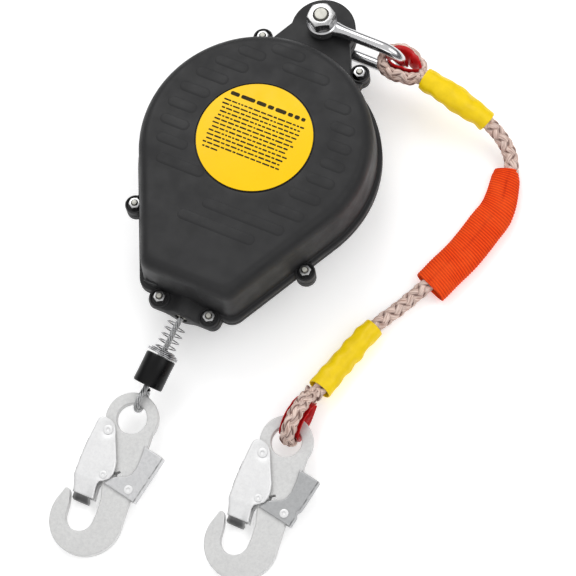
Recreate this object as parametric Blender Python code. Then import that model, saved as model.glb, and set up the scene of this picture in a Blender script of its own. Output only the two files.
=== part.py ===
"""Self retracting lifeline with its shackle, anchor sling and two snap hooks.

Millimetres in this file, turned to metres as each mesh is made. The unit lies on its back as it
would on a table: the reel's axis is Z, the flat back is on Z = 0, the hanging ear points to +Y
and the line leaves towards -Y. The origin is on the reel's axis, on the back face.
"""

import math

import bmesh
import bpy
from mathutils import Matrix, Vector

# ---- driving dimensions, mm -------------------------------------------------------------
HALF_DEPTH = 43.0        # back face to the parting plane, and parting plane to the front
WALL = 3.0
GAP = 0.3                # clearance between pieces that touch
RIM_R = 93.0             # parting rim of the round body
# how far each cover's wall stands in from the rim, at heights above or below the parting plane
FRONT_PROFILE = ((0.15, 3.0), (32.0, 4.5), (38.0, 6.0), (41.5, 8.5), (43.0, 12.0))
REAR_PROFILE = ((0.15, 3.0), (15.0, 6.0), (27.0, 10.5), (36.0, 14.0), (40.5, 17.5), (43.0, 21.0))
RIM_THICK = 3.5          # rim on each cover
BOTTOM_Y = -129.0
BOTTOM_HALF_W = 39.0
TAB_Y = -139.0
TAB_HALF_W = 29.0
NOZZLE_R = 11.0
LUG_R = 8.5
LUGS = [(-71, -71), (71, -71), (-41, 94), (41, 94), (-20.5, -132), (20.5, -132)]
EAR_Y = 117.0
EAR_R = 25.0
EAR_HALF_T = 9.7
COVER_BOLT_R = 2.5       # M5
COVER_NUT_AF = 8.0
LABEL_R = 44.0

SHAFT_R = 8.0
DRUM_FLANGE_R = 66.0
DRUM_HUB_R = 27.0
DRUM_Z = (30.5, 55.5)
DRUM_FLANGE_T = 2.5
WINDING_R = 61.0
SPRING_CASE_Z = 75.0
TEETH = 12
TOOTH_TIP_R = 40.5
TOOTH_ROOT_R = 45.0
BRAKE_Z = (12.6, 19.0)
PAWL_PIVOT_R = 24.0

CABLE_R = 2.4
EXIT_Y = -137.0
BUMPER_R = 11.0
BUMPER_LENGTH = 24.0

SHACKLE_BOLT_R = 6.0     # M12
SHACKLE_NUT_AF = 19.0
BOW_R = 4.5
BOW_HALF_GAP = 17.0      # leg centre lines above and below the parting plane
BOW_REACH = 67.0         # bolt axis to the centre line of the bend
BOW_TURN_DEG = -1.0

ROPE_R = 5.5
UPPER_LOOP_R = 12.7      # centre line radius of the sling's eyes
LOWER_LOOP_R = 13.2
LINER_T = 0.8

HOOK_TILT_DEG = 7.0      # eye ends sit up on the rope and cable under them
HOOK_EYE_R = 20.0
HOOK_HOLE_R = 11.5
HOOK_BOW_R = 27.5
HOOK_THROAT_R = 10.5
HOOK_BOW_AT = (0.0, -82.0)
HOOK_THROAT_AT = (-5.0, -82.0)
PLATE_Z = (4.8, 12.0)
LEVER_SKIN_Z = ((3.0, 4.5), (12.3, 13.8))
GATE_SKIN_Z = ((1.2, 2.7), (14.1, 15.6))
GATE_PIVOT = (-12.0, -15.0)
GATE_PIN = (-1.0, -47.0)
LEVER_PIVOT = (21.0, -50.0)
LINE_HOOK_AT = (-6.0, -217.0, 8.6)
ANCHOR_HOOK_AT = (107.5, -188.0, 8.6)

MID = HALF_DEPTH
DEPTH = 2 * HALF_DEPTH


# ---- helpers ----------------------------------------------------------------------------
def start_clean():
    for obj in list(bpy.data.objects):
        bpy.data.objects.remove(obj)


def add_mesh(name, mesh_builder, place=None):
    """A mesh object from a filled bmesh, in metres."""
    bm = bmesh.new()
    mesh_builder(bm)
    bmesh.ops.remove_doubles(bm, verts=bm.verts, dist=0.001)
    bmesh.ops.recalc_face_normals(bm, faces=bm.faces)
    bmesh.ops.scale(bm, vec=(0.001, 0.001, 0.001), verts=bm.verts)
    mesh = bpy.data.meshes.new(name)
    bm.to_mesh(mesh)
    bm.free()
    mesh.shade_smooth()
    mesh.set_sharp_from_angle(angle=math.radians(35))
    obj = bpy.data.objects.new(name, mesh)
    bpy.context.scene.collection.objects.link(obj)
    if place is not None:
        obj.matrix_world = place
    return obj


def circle(radius, count, at=(0, 0), start=0.0, end=360.0):
    """Points of an arc in degrees, with the last point left out on a full circle."""
    full = abs(end - start) >= 360.0
    steps = count if full else count - 1
    points = []
    for i in range(count):
        angle = math.radians(start + (end - start) * i / steps)
        points.append((at[0] + radius * math.cos(angle), at[1] + radius * math.sin(angle)))
    return points


def prism(name, outline, low, high, place=None):
    """The outline extruded along Z from low to high."""

    def build(bm):
        bottom = [bm.verts.new((x, y, low)) for x, y in outline]
        top = [bm.verts.new((x, y, high)) for x, y in outline]
        bm.faces.new(list(reversed(bottom)))
        bm.faces.new(top)
        for i in range(len(outline)):
            j = (i + 1) % len(outline)
            bm.faces.new((bottom[i], bottom[j], top[j], top[i]))

    return add_mesh(name, build, place)


def disc(name, radius, low, high, at=(0, 0), count=32, place=None):
    return prism(name, circle(radius, count, at), low, high, place)


def turned(name, profile, count=32, place=None):
    """A closed (radius, z) profile turned about Z; it keeps off the axis."""

    def build(bm):
        rings = []
        for i in range(count):
            angle = 2 * math.pi * i / count
            rings.append([bm.verts.new((r * math.cos(angle), r * math.sin(angle), z)) for r, z in profile])
        for i in range(count):
            here, there = rings[i], rings[(i + 1) % count]
            for k in range(len(profile)):
                m = (k + 1) % len(profile)
                bm.faces.new((here[k], there[k], there[m], here[m]))

    return add_mesh(name, build, place)


def ring(name, inner, outer, low, high, count=32, place=None):
    return turned(name, [(inner, low), (outer, low), (outer, high), (inner, high)], count, place)


def hexagon(name, across_flats, low, high, place=None):
    return prism(name, circle(across_flats / math.sqrt(3), 6), low, high, place)


def swept(name, points, radius, sides=8, closed=False, place=None, flat=None):
    """A tube along 3-D points: round, or flat with this half width across and its radius upwards."""

    def build(bm):
        path = [Vector(p) for p in points]
        count = len(path)
        rings = []
        side = None
        for i in range(count):
            if closed:
                along = path[(i + 1) % count] - path[i - 1]
            else:
                along = path[min(i + 1, count - 1)] - path[max(i - 1, 0)]
            along.normalize()
            if flat is not None:
                side = along.cross(Vector((0, 0, 1)))
            elif side is None:
                side = along.orthogonal()
            side = side - along * side.dot(along)
            side.normalize()
            up = along.cross(side)
            turn = [2 * math.pi * k / sides for k in range(sides)]
            wide = radius if flat is None else flat
            rings.append([bm.verts.new(path[i] + wide * math.cos(a) * side + radius * math.sin(a) * up)
                          for a in turn])
        spans = count if closed else count - 1
        for i in range(spans):
            here, there = rings[i], rings[(i + 1) % count]
            for k in range(sides):
                m = (k + 1) % sides
                bm.faces.new((here[k], here[m], there[m], there[k]))
        if not closed:
            bm.faces.new(list(reversed(rings[0])))
            bm.faces.new(rings[-1])

    return add_mesh(name, build, place)


def cord_tube(name, points, radius, resolution=2):
    """A plain round cord on a poly spline."""
    curve = bpy.data.curves.new(name, "CURVE")
    curve.dimensions = "3D"
    curve.bevel_depth = radius * 0.001
    curve.bevel_resolution = resolution
    curve.use_fill_caps = True
    spline = curve.splines.new("POLY")
    spline.points.add(len(points) - 1)
    for knot, point in zip(spline.points, points):
        knot.co = (*(Vector(point) * 0.001), 1.0)
    spline.use_smooth = True
    obj = bpy.data.objects.new(name, curve)
    bpy.context.scene.collection.objects.link(obj)
    return obj


def pivot(name, pieces, place):
    """An empty on a joint's axis that carries the pieces which turn or slide with it."""
    empty = bpy.data.objects.new(name, None)
    empty.empty_display_size = 0.02
    empty.matrix_world = place
    bpy.context.scene.collection.objects.link(empty)
    bpy.context.view_layer.update()
    for piece in pieces:
        obj = bpy.data.objects[piece]
        world = obj.matrix_world.copy()
        obj.parent = empty
        obj.matrix_parent_inverse = place.inverted()
        obj.matrix_world = world
    return empty


def combine(base, others, operation):
    """Adds or cuts the others, which stay as hidden wire helpers."""
    for other in others:
        modifier = base.modifiers.new(operation.title(), "BOOLEAN")
        modifier.operation = operation
        modifier.solver = "EXACT"
        modifier.object = other
        other.hide_render = True
        other.display_type = "WIRE"
    return base


def at(x, y, z=0.0, turn=0.0):
    """A placement in millimetres, turned about Z in degrees."""
    return Matrix.Translation(Vector((x, y, z)) * 0.001) @ Matrix.Rotation(math.radians(turn), 4, "Z")


def smooth_path(points, steps):
    """Catmull-Rom points through the hand-chosen ones."""
    ends = [Vector(p) for p in points]
    ends = [2 * ends[0] - ends[1]] + ends + [2 * ends[-1] - ends[-2]]
    found = []
    for i in range(1, len(ends) - 2):
        a, b, c, d = ends[i - 1:i + 3]
        for k in range(steps):
            t = k / steps
            found.append(0.5 * ((2 * b) + (c - a) * t + (2 * a - 5 * b + 4 * c - d) * t * t
                                + (3 * b - 3 * c + d - a) * t ** 3))
    found.append(ends[-2])
    return found


# ---- covers -----------------------------------------------------------------------------
def body_outline(inset, count=36):
    """Round body with straight flanks tangent to it, down to a narrower flat bottom."""
    radius, bottom_y = RIM_R - inset, BOTTOM_Y + inset
    half_w = BOTTOM_HALF_W - 0.615 * inset
    reach = math.hypot(half_w, bottom_y)
    corner = math.degrees(math.atan2(half_w, -bottom_y))
    tangent = corner + math.degrees(math.acos(radius / reach))
    arc = circle(radius, count, (0, 0), -90 + tangent, 270 - tangent)
    foot = 6.0
    lean = math.radians(tangent)
    left = (-half_w - foot * math.cos(lean), bottom_y + foot * math.sin(lean))
    right = (-left[0], left[1])
    return arc + [left, (-half_w + foot, bottom_y), (half_w - foot, bottom_y), right]


def layered(name, layers):
    """A closed solid through matching outlines, each with its height."""

    def build(bm):
        rows = [[bm.verts.new((x, y, z)) for x, y in outline] for outline, z in layers]
        bm.faces.new(rows[0])
        bm.faces.new(rows[-1])
        for here, there in zip(rows, rows[1:]):
            for i in range(len(here)):
                j = (i + 1) % len(here)
                bm.faces.new((here[i], here[j], there[j], there[i]))

    return add_mesh(name, build)


def ear_outline(shrink=0.0):
    """Round top with flanks that flare towards the body."""
    radius = EAR_R - shrink
    top = circle(radius, 15, (0, EAR_Y), -10, 190)
    return top + [(-44 + shrink, 72), (44 - shrink, 72)]


def tab_outline():
    r = 6.0
    right = circle(r, 5, (TAB_HALF_W - r, TAB_Y + r), -90, 0)
    left = circle(r, 5, (-TAB_HALF_W + r, TAB_Y + r), 180, 270)
    return [(TAB_HALF_W, -120), (-TAB_HALF_W, -120)] + left + right


def cover(name, front):
    """One moulded shell: hollow body, rim, lugs, tab with half a nozzle, and half of the ear."""
    sign = 1 if front else -1

    def span(near, far):
        a, b = MID + sign * near, MID + sign * far
        return min(a, b), max(a, b)

    profile = FRONT_PROFILE if front else REAR_PROFILE
    shell = layered(name, [(body_outline(inset), MID + sign * rise) for rise, inset in profile])
    rim = prism(name + "_rim", body_outline(0), *span(GAP / 2, RIM_THICK))
    tab = prism(name + "_tab", tab_outline(), *span(GAP / 2, 4.5))
    ear = prism(name + "_ear", ear_outline(), *span(GAP / 2, EAR_HALF_T))
    nozzle_half = swept(name + "_nozzle", [(0, -118, MID), (0, TAB_Y, MID)], NOZZLE_R, 16)
    keep = prism(name + "_keep", [(-20, -145), (20, -145), (20, -110), (-20, -110)], *span(GAP / 2, 20))
    combine(nozzle_half, [keep], "INTERSECT")
    parts = [rim, tab, ear, nozzle_half]
    for i, (x, y) in enumerate(LUGS[:4]):
        parts.append(disc(f"{name}_lug{i}", LUG_R, *span(GAP / 2, 4.5), at=(x, y), count=16))
    combine(shell, parts, "UNION")

    inner = [(-1.0, profile[0][1])] + list(profile[1:-1]) + [(HALF_DEPTH - WALL, profile[-2][1] + 1.0)]
    inner[-2] = (HALF_DEPTH - WALL - 3, inner[-2][1] - 1.5)
    hollow = layered(name + "_hollow", [(body_outline(inset + WALL), MID + sign * rise) for rise, inset in inner])
    plate_pocket = prism(name + "_pocket", [(-17.5, 70), (17.5, 70), (17.5, 134), (-17.5, 134)], *span(-1, 3.3))
    bush_seat = swept(name + "_seat", [(0, -110, MID), (0, -137.6, MID)], 7.3, 16)
    mouth = swept(name + "_mouth", [(0, -130, MID), (0, -150, MID)], 5.0, 12)
    eye = disc(name + "_eye", SHACKLE_BOLT_R + GAP, *span(-1, 15), at=(0, EAR_Y), count=16)
    cutters = [hollow, plate_pocket, bush_seat, mouth, eye]
    for i, (x, y) in enumerate(LUGS):
        cutters.append(disc(f"{name}_hole{i}", COVER_BOLT_R + GAP, *span(-1, 8), at=(x, y), count=10))
    combine(shell, cutters, "DIFFERENCE")
    if front:
        seat = disc(name + "_label_seat", LABEL_R + 1.2, DEPTH - 0.9, DEPTH + 2, count=48)
        combine(shell, [seat], "DIFFERENCE")
    return shell


# ---- hook pieces, drawn about the eye's centre --------------------------------------------
def hook_place(where):
    x, y, z = where
    move = Matrix.Translation(Vector((x, y, z)) * 0.001)
    return move @ Matrix.Rotation(math.radians(HOOK_TILT_DEG), 4, "X")


def hook_outline():
    eye = circle(HOOK_EYE_R, 19, (0, 0), -15, 205)
    shank_left = [(-19, -18), (-11, -31), (-5, -42), (0, -53), (4, -64), (5.5, -75)]
    throat = circle(HOOK_THROAT_R, 11, HOOK_THROAT_AT, 0, -180)
    nose = [(-17, -75), (-20, -67), (-22.5, -65), (-25, -67)]
    bow = circle(HOOK_BOW_R, 19, HOOK_BOW_AT, 164, 365)
    back = [(25.5, -66), (24, -52), (22, -34), (20.5, -16)]
    return eye + shank_left + throat + nose + bow + back


def gate_outline():
    return [(-16, -8.5), (-20.5, -12), (-22, -28), (-21.5, -40), (-20.8, -57), (-16.5, -66), (-10, -69.5), (0.5, -68.5),
            (2.5, -64), (0.5, -54), (6, -50), (8.5, -45), (7, -35), (-1.5, -20), (-7.5, -9.5), (-11.5, -7.5)]


def lever_outline():
    return [(18, -16), (35, -18.5), (28.5, -57), (1.5, -52), (6.3, -46.8), (15, -42), (19.5, -34)]


def channel(name, outline, skins, fold, place):
    """Two skins either side of the plate, joined by a folded web along one edge."""
    low, high = skins[0][0], skins[1][1]
    front = prism(name, outline, *skins[1], place=place)
    back = prism(name + "_back", outline, *skins[0], place=place)
    web = prism(name + "_web", fold, low, high, place=place)
    return combine(front, [web, back], "UNION")


def snap_hook(prefix, where):
    place = hook_place(where)
    plate = prism(prefix + "_body", hook_outline(), *PLATE_Z, place=place)
    holes = [disc(prefix + "_eye_hole", HOOK_HOLE_R, 0, 20, count=24, place=place),
             disc(prefix + "_gate_hole", 2.8, 0, 20, GATE_PIVOT, 10, place),
             disc(prefix + "_lever_hole", 2.8, 0, 20, LEVER_PIVOT, 10, place)]
    # the slot that the gate's pin runs in, an arc about the gate's pivot
    dx, dy = GATE_PIN[0] - GATE_PIVOT[0], GATE_PIN[1] - GATE_PIVOT[1]
    slot_r = math.hypot(dx, dy)
    rest = math.degrees(math.atan2(dy, dx))
    outer = circle(slot_r + 2.7, 8, GATE_PIVOT, rest - 20, rest + 32)
    inner = circle(slot_r - 2.7, 8, GATE_PIVOT, rest + 32, rest - 20)
    holes.append(prism(prefix + "_slot", outer + inner, 0, 20, place=place))
    combine(plate, holes, "DIFFERENCE")

    gate_fold = [(-22, -28), (-21.5, -40), (-20.8, -57), (-16.5, -66), (-14.6, -73), (-13.2, -72.6),
                 (-15.1, -65.4), (-19.3, -56.7), (-20, -40), (-20.5, -28)]
    gate = channel(prefix + "_gate", gate_outline(), GATE_SKIN_Z, gate_fold, place)
    combine(gate, [disc(prefix + "_gate_bore", 2.8, 0, 20, GATE_PIVOT, 10, place),
                   disc(prefix + "_gate_pin_bore", 2.3, 0, 20, GATE_PIN, 10, place)], "DIFFERENCE")
    lever_fold = [(35, -18.5), (28.5, -57), (27, -56.7), (33.5, -18.3)]
    lever = channel(prefix + "_lever", lever_outline(), LEVER_SKIN_Z, lever_fold, place)
    combine(lever, [disc(prefix + "_lever_bore", 2.8, 0, 20, LEVER_PIVOT, 10, place)], "DIFFERENCE")

    rivet(prefix + "_gate_rivet", 2.5, 4.0, GATE_SKIN_Z, GATE_PIVOT, place)
    rivet(prefix + "_gate_pin", 2.0, 3.0, GATE_SKIN_Z, GATE_PIN, place)
    rivet(prefix + "_lever_rivet", 2.5, 3.6, LEVER_SKIN_Z, LEVER_PIVOT, place)


def rivet(name, shank_r, head_r, skins, where, place):
    low, high = skins[0][0] - GAP, skins[1][1] + GAP
    shank = disc(name, shank_r, low - 0.5, high + 0.5, where, 10, place)
    heads = [disc(name + "_head_low", head_r, low - 0.9, low, where, 12, place),
             disc(name + "_head_high", head_r, high, high + 0.9, where, 12, place)]
    combine(shank, heads, "UNION")


start_clean()

# ---- housing ----------------------------------------------------------------------------
cover("front_cover", True)
cover("rear_cover", False)
disc("label_plate", LABEL_R, DEPTH - 0.6, DEPTH + 0.2, count=48)

for index, (x, y) in enumerate(LUGS, start=1):
    place = at(x, y)
    shank = disc(f"cover_bolt_{index}", COVER_BOLT_R, MID - 6, MID + 10.3, count=10, place=place)
    head = hexagon(f"cover_bolt_{index}_head", COVER_NUT_AF, MID - 8.5, MID - 4.8, place)
    combine(shank, [head], "UNION")
    nut = hexagon(f"cover_nut_{index}", COVER_NUT_AF, MID + 4.8, MID + 8.8, place)
    combine(nut, [disc(f"cover_nut_{index}_bore", COVER_BOLT_R + GAP, MID, MID + 12, count=10, place=place)],
            "DIFFERENCE")

# steel frame that carries the load from the ear to the shaft, with an arm at each end of it
ear_plate = prism("hanger_frame", [(-17, 70), (17, 70), (17, 119)] + circle(15, 7, (0, 117), 30, 150) + [(-17, 119)],
                  MID - 3, MID + 3)
bridge = prism("hanger_bridge", [(-20, 68), (20, 68), (20, 72), (-20, 72)], 7.2, 78.8)
arm_outline = [(19.5, 71), (-19.5, 71), (-17, 0), (17, 0)]
arms = [prism("hanger_arm_rear", arm_outline, 7, 10), prism("hanger_arm_front", arm_outline, 76, 79),
        disc("hanger_disc_rear", 58, 6.9, 10.1), disc("hanger_disc_front", 22, 75.9, 79.1)]
combine(ear_plate, [bridge] + arms, "UNION")
combine(ear_plate, [disc("hanger_shaft_hole", SHAFT_R + GAP, 0, 90),
                    disc("hanger_bolt_hole", SHACKLE_BOLT_R + GAP, 30, 60, (0, EAR_Y), 16)], "DIFFERENCE")

shaft = disc("main_shaft", SHAFT_R, 4, 82.2, count=24)
combine(shaft, [disc("main_shaft_head", 13, 3.6, 6.7, count=24)], "UNION")
shaft_nut = hexagon("shaft_nut", 22, 79.4, 82.2)
combine(shaft_nut, [disc("shaft_nut_bore", SHAFT_R + GAP, 70, 90, count=24)], "DIFFERENCE")

spiral = []
for i in range(97):
    turn = 2 * math.pi * i / 16
    spiral.append((14 + 40 * i / 96, turn))


def build_spiral(bm):
    """A flat strip wound outwards, as one solid."""
    rings = []
    for radius, turn in spiral:
        row = []
        for r, z in ((radius, 58), (radius + 1.6, 58), (radius + 1.6, 72), (radius, 72)):
            row.append(bm.verts.new((r * math.cos(turn), r * math.sin(turn), z)))
        rings.append(row)
    for here, there in zip(rings, rings[1:]):
        for k in range(4):
            m = (k + 1) % 4
            bm.faces.new((here[k], there[k], there[m], here[m]))
    bm.faces.new(rings[0])
    bm.faces.new(list(reversed(rings[-1])))


add_mesh("power_spring", build_spiral)

bush_axis = Matrix.Translation((0, 0, MID * 0.001)) @ Matrix.Rotation(math.radians(90), 4, "X")
turned("exit_bush", [(3.2, 124), (7, 124), (7, 137.3), (3.2, 137.3)], 16, bush_axis)

# ---- brake ------------------------------------------------------------------------------
friction_low = 10.4
ring("friction_ring_rear", 46, 57, friction_low, BRAKE_Z[0] - GAP)
tooth_points = []
for tooth in range(TEETH):
    start = 360.0 * tooth / TEETH
    for offset, radius in ((0, TOOTH_TIP_R), (9, TOOTH_ROOT_R), (28, TOOTH_ROOT_R)):
        angle = math.radians(start + offset)
        tooth_points.append((radius * math.cos(angle), radius * math.sin(angle)))
brake_ring = disc("brake_ring", 57, *BRAKE_Z, count=36)
combine(brake_ring, [prism("brake_ring_teeth", tooth_points, 0, 30)], "DIFFERENCE")
ring("friction_ring_front", 48, 57, BRAKE_Z[1] + GAP, BRAKE_Z[1] + 2.3)
ring("clamp_ring", 48, 60, BRAKE_Z[1] + 2.6, BRAKE_Z[1] + 6.6)

# ---- drum -------------------------------------------------------------------------------
low, high = DRUM_Z
turned("cable_drum", [
    (11, low), (DRUM_FLANGE_R, low), (DRUM_FLANGE_R, low + DRUM_FLANGE_T), (DRUM_HUB_R, low + DRUM_FLANGE_T),
    (DRUM_HUB_R, high - DRUM_FLANGE_T), (DRUM_FLANGE_R, high - DRUM_FLANGE_T), (DRUM_FLANGE_R, high),
    (60, high), (60, SPRING_CASE_Z), (58, SPRING_CASE_Z), (58, high), (11, high)], 36)
ring("cable_winding", DRUM_HUB_R + GAP, WINDING_R, low + DRUM_FLANGE_T + GAP, high - DRUM_FLANGE_T - GAP, 36)
ring("drum_bush", SHAFT_R + GAP, 10.7, 27, 56, 24)

for index, turn in ((1, 0), (2, 180)):
    spin = Matrix.Rotation(math.radians(turn), 4, "Z")
    # the pivot pin under the drum's flange, and the pawl on it lying along the ring at rest
    pin = disc(f"pawl_pin_{index}", 3.0, BRAKE_Z[0] + 0.3, low - GAP, (PAWL_PIVOT_R, 0), 12, spin)
    combine(pin, [disc(f"pawl_pin_{index}_collar", 5.0, 20, low - GAP, (PAWL_PIVOT_R, 0), 12, spin)], "UNION")
    pawl = prism(f"pawl_{index}", [(20, -6), (27, -7), (31, 0), (34, 12), (35.3, 17.2), (31, 17.5), (24, 7), (18.5, 4)],
                 13.4, 18.4, spin)
    combine(pawl, [disc(f"pawl_{index}_bore", 3.3, 0, 30, (PAWL_PIVOT_R, 0), 12, spin)], "DIFFERENCE")
    prism(f"pawl_spring_{index}", [(15, -9), (18, -9), (18, 2.5), (15, 2.5)], 14, 18, spin)

# ---- lifeline ---------------------------------------------------------------------------
wrap_r = WINDING_R - CABLE_R
lead = math.acos(wrap_r / -EXIT_Y)
touch = math.radians(-90) - lead
tangent_point = Vector(((wrap_r + 6.2) * math.cos(touch), (wrap_r + 6.2) * math.sin(touch), MID))
cord_tube("cable_inner_run", smooth_path([tangent_point, (-26, -73, MID), (-10, -103.5, MID), (-2.2, -118, MID),
                                          (0, -125, MID), (0, EXIT_Y, MID)], 3), CABLE_R)

line_top = (0, EXIT_Y - 1.6, MID)
bumper_top = Vector((-3.5, -169.0, 32.5))
bumper_end = Vector((-5.2, -192.0, 26.0))
bumper_along = (bumper_end - bumper_top).normalized()
aim = bumper_along.to_track_quat("Z", "X").to_matrix().to_4x4()
bumper_place = Matrix.Translation(bumper_top * 0.001) @ aim
cord_tube("line_cable", smooth_path([line_top, (-0.9, -141.6, 41.2), (-1.75, -146, 39.0), (-2.65, -157.5, 35.8),
                                     bumper_top + bumper_along * 5.5], 2), CABLE_R)
turned("line_bumper", [(CABLE_R + 4.3, 0), (BUMPER_R, 0), (BUMPER_R, BUMPER_LENGTH), (CABLE_R + 4.3, BUMPER_LENGTH)],
       24, bumper_place)
disc("line_ferrule", CABLE_R + 3.8, 6.2, 18, count=16, place=bumper_place)
turned("recoil_spring", [(4.2, -27.4), (8.3, -27.4), (8.3, -9), (12.4, -2), (12.4, -0.4), (9.5, -0.4), (4.2, -8)],
       24, bumper_place)
eye_x, eye_y, _ = LINE_HOOK_AT
rim_y = eye_y + (HOOK_EYE_R + HOOK_HOLE_R) / 2
cord_tube("cable_loop", smooth_path([
    bumper_top + bumper_along * 18.6, (-5.3, -195.5, 26.6), (-5.6, -201.5, 27.8), (-5.9, -207.5, 26.3),
    (-6, -210.2, 20.2), (-6, -207.8, 12.3), (-6, -202, 9.2), (-5.8, -195.6, 12.0), (-5.5, -193.2, 17.0)], 3), CABLE_R)

snap_hook("line_hook", LINE_HOOK_AT)

# ---- shackle ----------------------------------------------------------------------------
bolt_place = at(0, EAR_Y)
bolt = disc("shackle_bolt", SHACKLE_BOLT_R, 14, 77, count=16, place=bolt_place)
combine(bolt, [hexagon("shackle_bolt_head", SHACKLE_NUT_AF, 12.7, 20.2, bolt_place)], "UNION")
nut = hexagon("shackle_nut", SHACKLE_NUT_AF, 65.3, 75.3, bolt_place)
combine(nut, [disc("shackle_nut_bore", SHACKLE_BOLT_R + GAP, 50, 90, count=16, place=bolt_place)], "DIFFERENCE")

bow_place = at(0, EAR_Y, 0, BOW_TURN_DEG)
bend_at = BOW_REACH - BOW_HALF_GAP
bow_path = [(6, 0, MID + BOW_HALF_GAP)]
for step in range(13):
    angle = math.radians(90 - 15 * step)
    bow_path.append((bend_at + BOW_HALF_GAP * math.cos(angle), 0, MID + BOW_HALF_GAP * math.sin(angle)))
bow_path.append((6, 0, MID - BOW_HALF_GAP))
bow = swept("shackle_bow", bow_path, BOW_R, 12, place=bow_place)
for label, z in (("high", MID + BOW_HALF_GAP), ("low", MID - BOW_HALF_GAP)):
    boss = disc(f"shackle_boss_{label}", 12, z - BOW_R - 0.3, z + BOW_R + 0.3, count=24, place=bow_place)
    combine(bow, [boss], "UNION")
combine(bow, [disc("shackle_bow_bore", SHACKLE_BOLT_R + GAP, 0, 90, count=16, place=bow_place)], "DIFFERENCE")

# ---- anchor sling -----------------------------------------------------------------------
UPPER_EYE = Vector((64.2, 116.5, MID))
UPPER_TURN = math.radians(-12)
SLING_ROUTE = [
    (82, 112.6, 43), (92, 111, 42), (103, 109.4, 40), (120, 107, 34), (140, 104, 26), (155, 99, 18),
    (166, 91, 11), (172, 80, 8), (174.5, 68, 7.5), (175.5, 48, 7.5), (171.5, 28, 7.5), (164.5, 3, 7.5),
    (156.5, -16, 7.5), (150.5, -31, 7.5), (139, -56, 7.5), (128, -78, 8.6), (119.5, -106, 8.7),
    (113, -132, 10.4), (109.5, -147, 12.6)]


def eye_loop(radius, start, steps=15):
    """Teardrop in its own plane: a round end behind and a throat in front at +X."""
    round_end = circle(radius, steps, (0, 0), 52, 308)
    return [(start, 2.2), ((start + 8) / 2 + 1, radius * 0.62)] + round_end + [
        ((start + 8) / 2 + 1, -radius * 0.62), (start, -2.2)]


def upper(point, lift=0.0):
    c, s = math.cos(UPPER_TURN), math.sin(UPPER_TURN)
    x, y = point
    return UPPER_EYE + Vector((c * x - s * y, s * x + c * y, lift))


LOWER_EYE = Vector((107.5, -173.4, 18.9))
LOWER_RISE = math.radians(12)


def lower(point, aside=0.0):
    """The lower eye stands upright: along the rope in +Y and up in Z."""
    x, z = point
    c, s = math.cos(LOWER_RISE), math.sin(LOWER_RISE)
    return LOWER_EYE + Vector((aside, c * x + s * z, -s * x + c * z))


route = smooth_path(SLING_ROUTE, 2)
rope = swept("sling_rope", route, ROPE_R, 10)
upper_loop = swept("sling_upper_loop", [upper(p) for p in eye_loop(UPPER_LOOP_R, 19)], ROPE_R, 10)
lower_loop = swept("sling_lower_loop", [lower(p) for p in eye_loop(LOWER_LOOP_R, 29)], ROPE_R, 10)
combine(rope, [upper_loop, lower_loop], "UNION")
for modifier in rope.modifiers:
    modifier.use_self = True    # each eye's two ends cross in its throat


def strip(name, outer_line, inner_line, across):
    """A band between two matching lines, wide along the vector across."""

    def build(bm):
        rows = []
        for o, i in zip(outer_line, inner_line):
            rows.append([bm.verts.new(o - across), bm.verts.new(o + across),
                         bm.verts.new(i + across), bm.verts.new(i - across)])
        for here, there in zip(rows, rows[1:]):
            for k in range(4):
                m = (k + 1) % 4
                bm.faces.new((here[k], there[k], there[m], here[m]))
        bm.faces.new(rows[0])
        bm.faces.new(list(reversed(rows[-1])))

    return add_mesh(name, build)


def liner(name, loop_r, place_point, across):
    """A thin thimble inside an eye."""
    outer = [place_point(p) for p in circle(loop_r - ROPE_R - GAP, 17, (0, 0), 56, 304)]
    inner = [place_point(p) for p in circle(loop_r - ROPE_R - GAP - LINER_T, 17, (0, 0), 56, 304)]
    strip(name, outer, inner, across)


liner("upper_thimble", UPPER_LOOP_R, upper, Vector((0, 0, 5)))
liner("lower_thimble", LOWER_LOOP_R, lower, Vector((4.5, 0, 0)))


def sleeve(name, first, last, radius, sides=14, flat=None):
    """A tube over part of the rope, cut clear of it."""
    part = route[first:last + 1]
    outer = swept(name, part, radius, sides, flat=flat)
    bore = swept(name + "_bore", [2 * part[0] - part[1]] + part + [2 * part[-1] - part[-2]], ROPE_R + 0.5, 10)
    combine(outer, [bore], "DIFFERENCE")


sleeve("upper_sleeve", 1, 8, 8.2)
sleeve("webbing_sleeve", 14, 26, 7.3, 16, 14.0)
sleeve("lower_sleeve", 30, 35, 8.4)
snap_hook("anchor_hook", ANCHOR_HOOK_AT)

# ---- carriers of the moving groups --------------------------------------------------------
pivot("drum_axis", ["cable_drum", "cable_winding", "drum_bush", "pawl_pin_1", "pawl_pin_2", "pawl_spring_1",
                    "pawl_spring_2"], at(0, 0, MID))
pivot("brake_axis", ["brake_ring"], at(0, 0, BRAKE_Z[0]))
pivot("pawl_axis_1", ["pawl_1"], at(PAWL_PIVOT_R, 0, 13.4))
pivot("pawl_axis_2", ["pawl_2"], at(-PAWL_PIVOT_R, 0, 13.4))
pivot("line_axis", ["line_cable", "line_bumper", "line_ferrule", "recoil_spring", "cable_loop"], at(0, EXIT_Y, MID))
pivot("shackle_axis", ["shackle_bolt", "shackle_nut", "shackle_bow"], at(0, EAR_Y, MID))
bow_turn = math.radians(BOW_TURN_DEG)
pivot("sling_axis", ["sling_rope", "upper_thimble", "lower_thimble", "upper_sleeve", "lower_sleeve",
                     "webbing_sleeve"],
      at(BOW_REACH * math.cos(bow_turn), EAR_Y + BOW_REACH * math.sin(bow_turn), MID))
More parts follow.
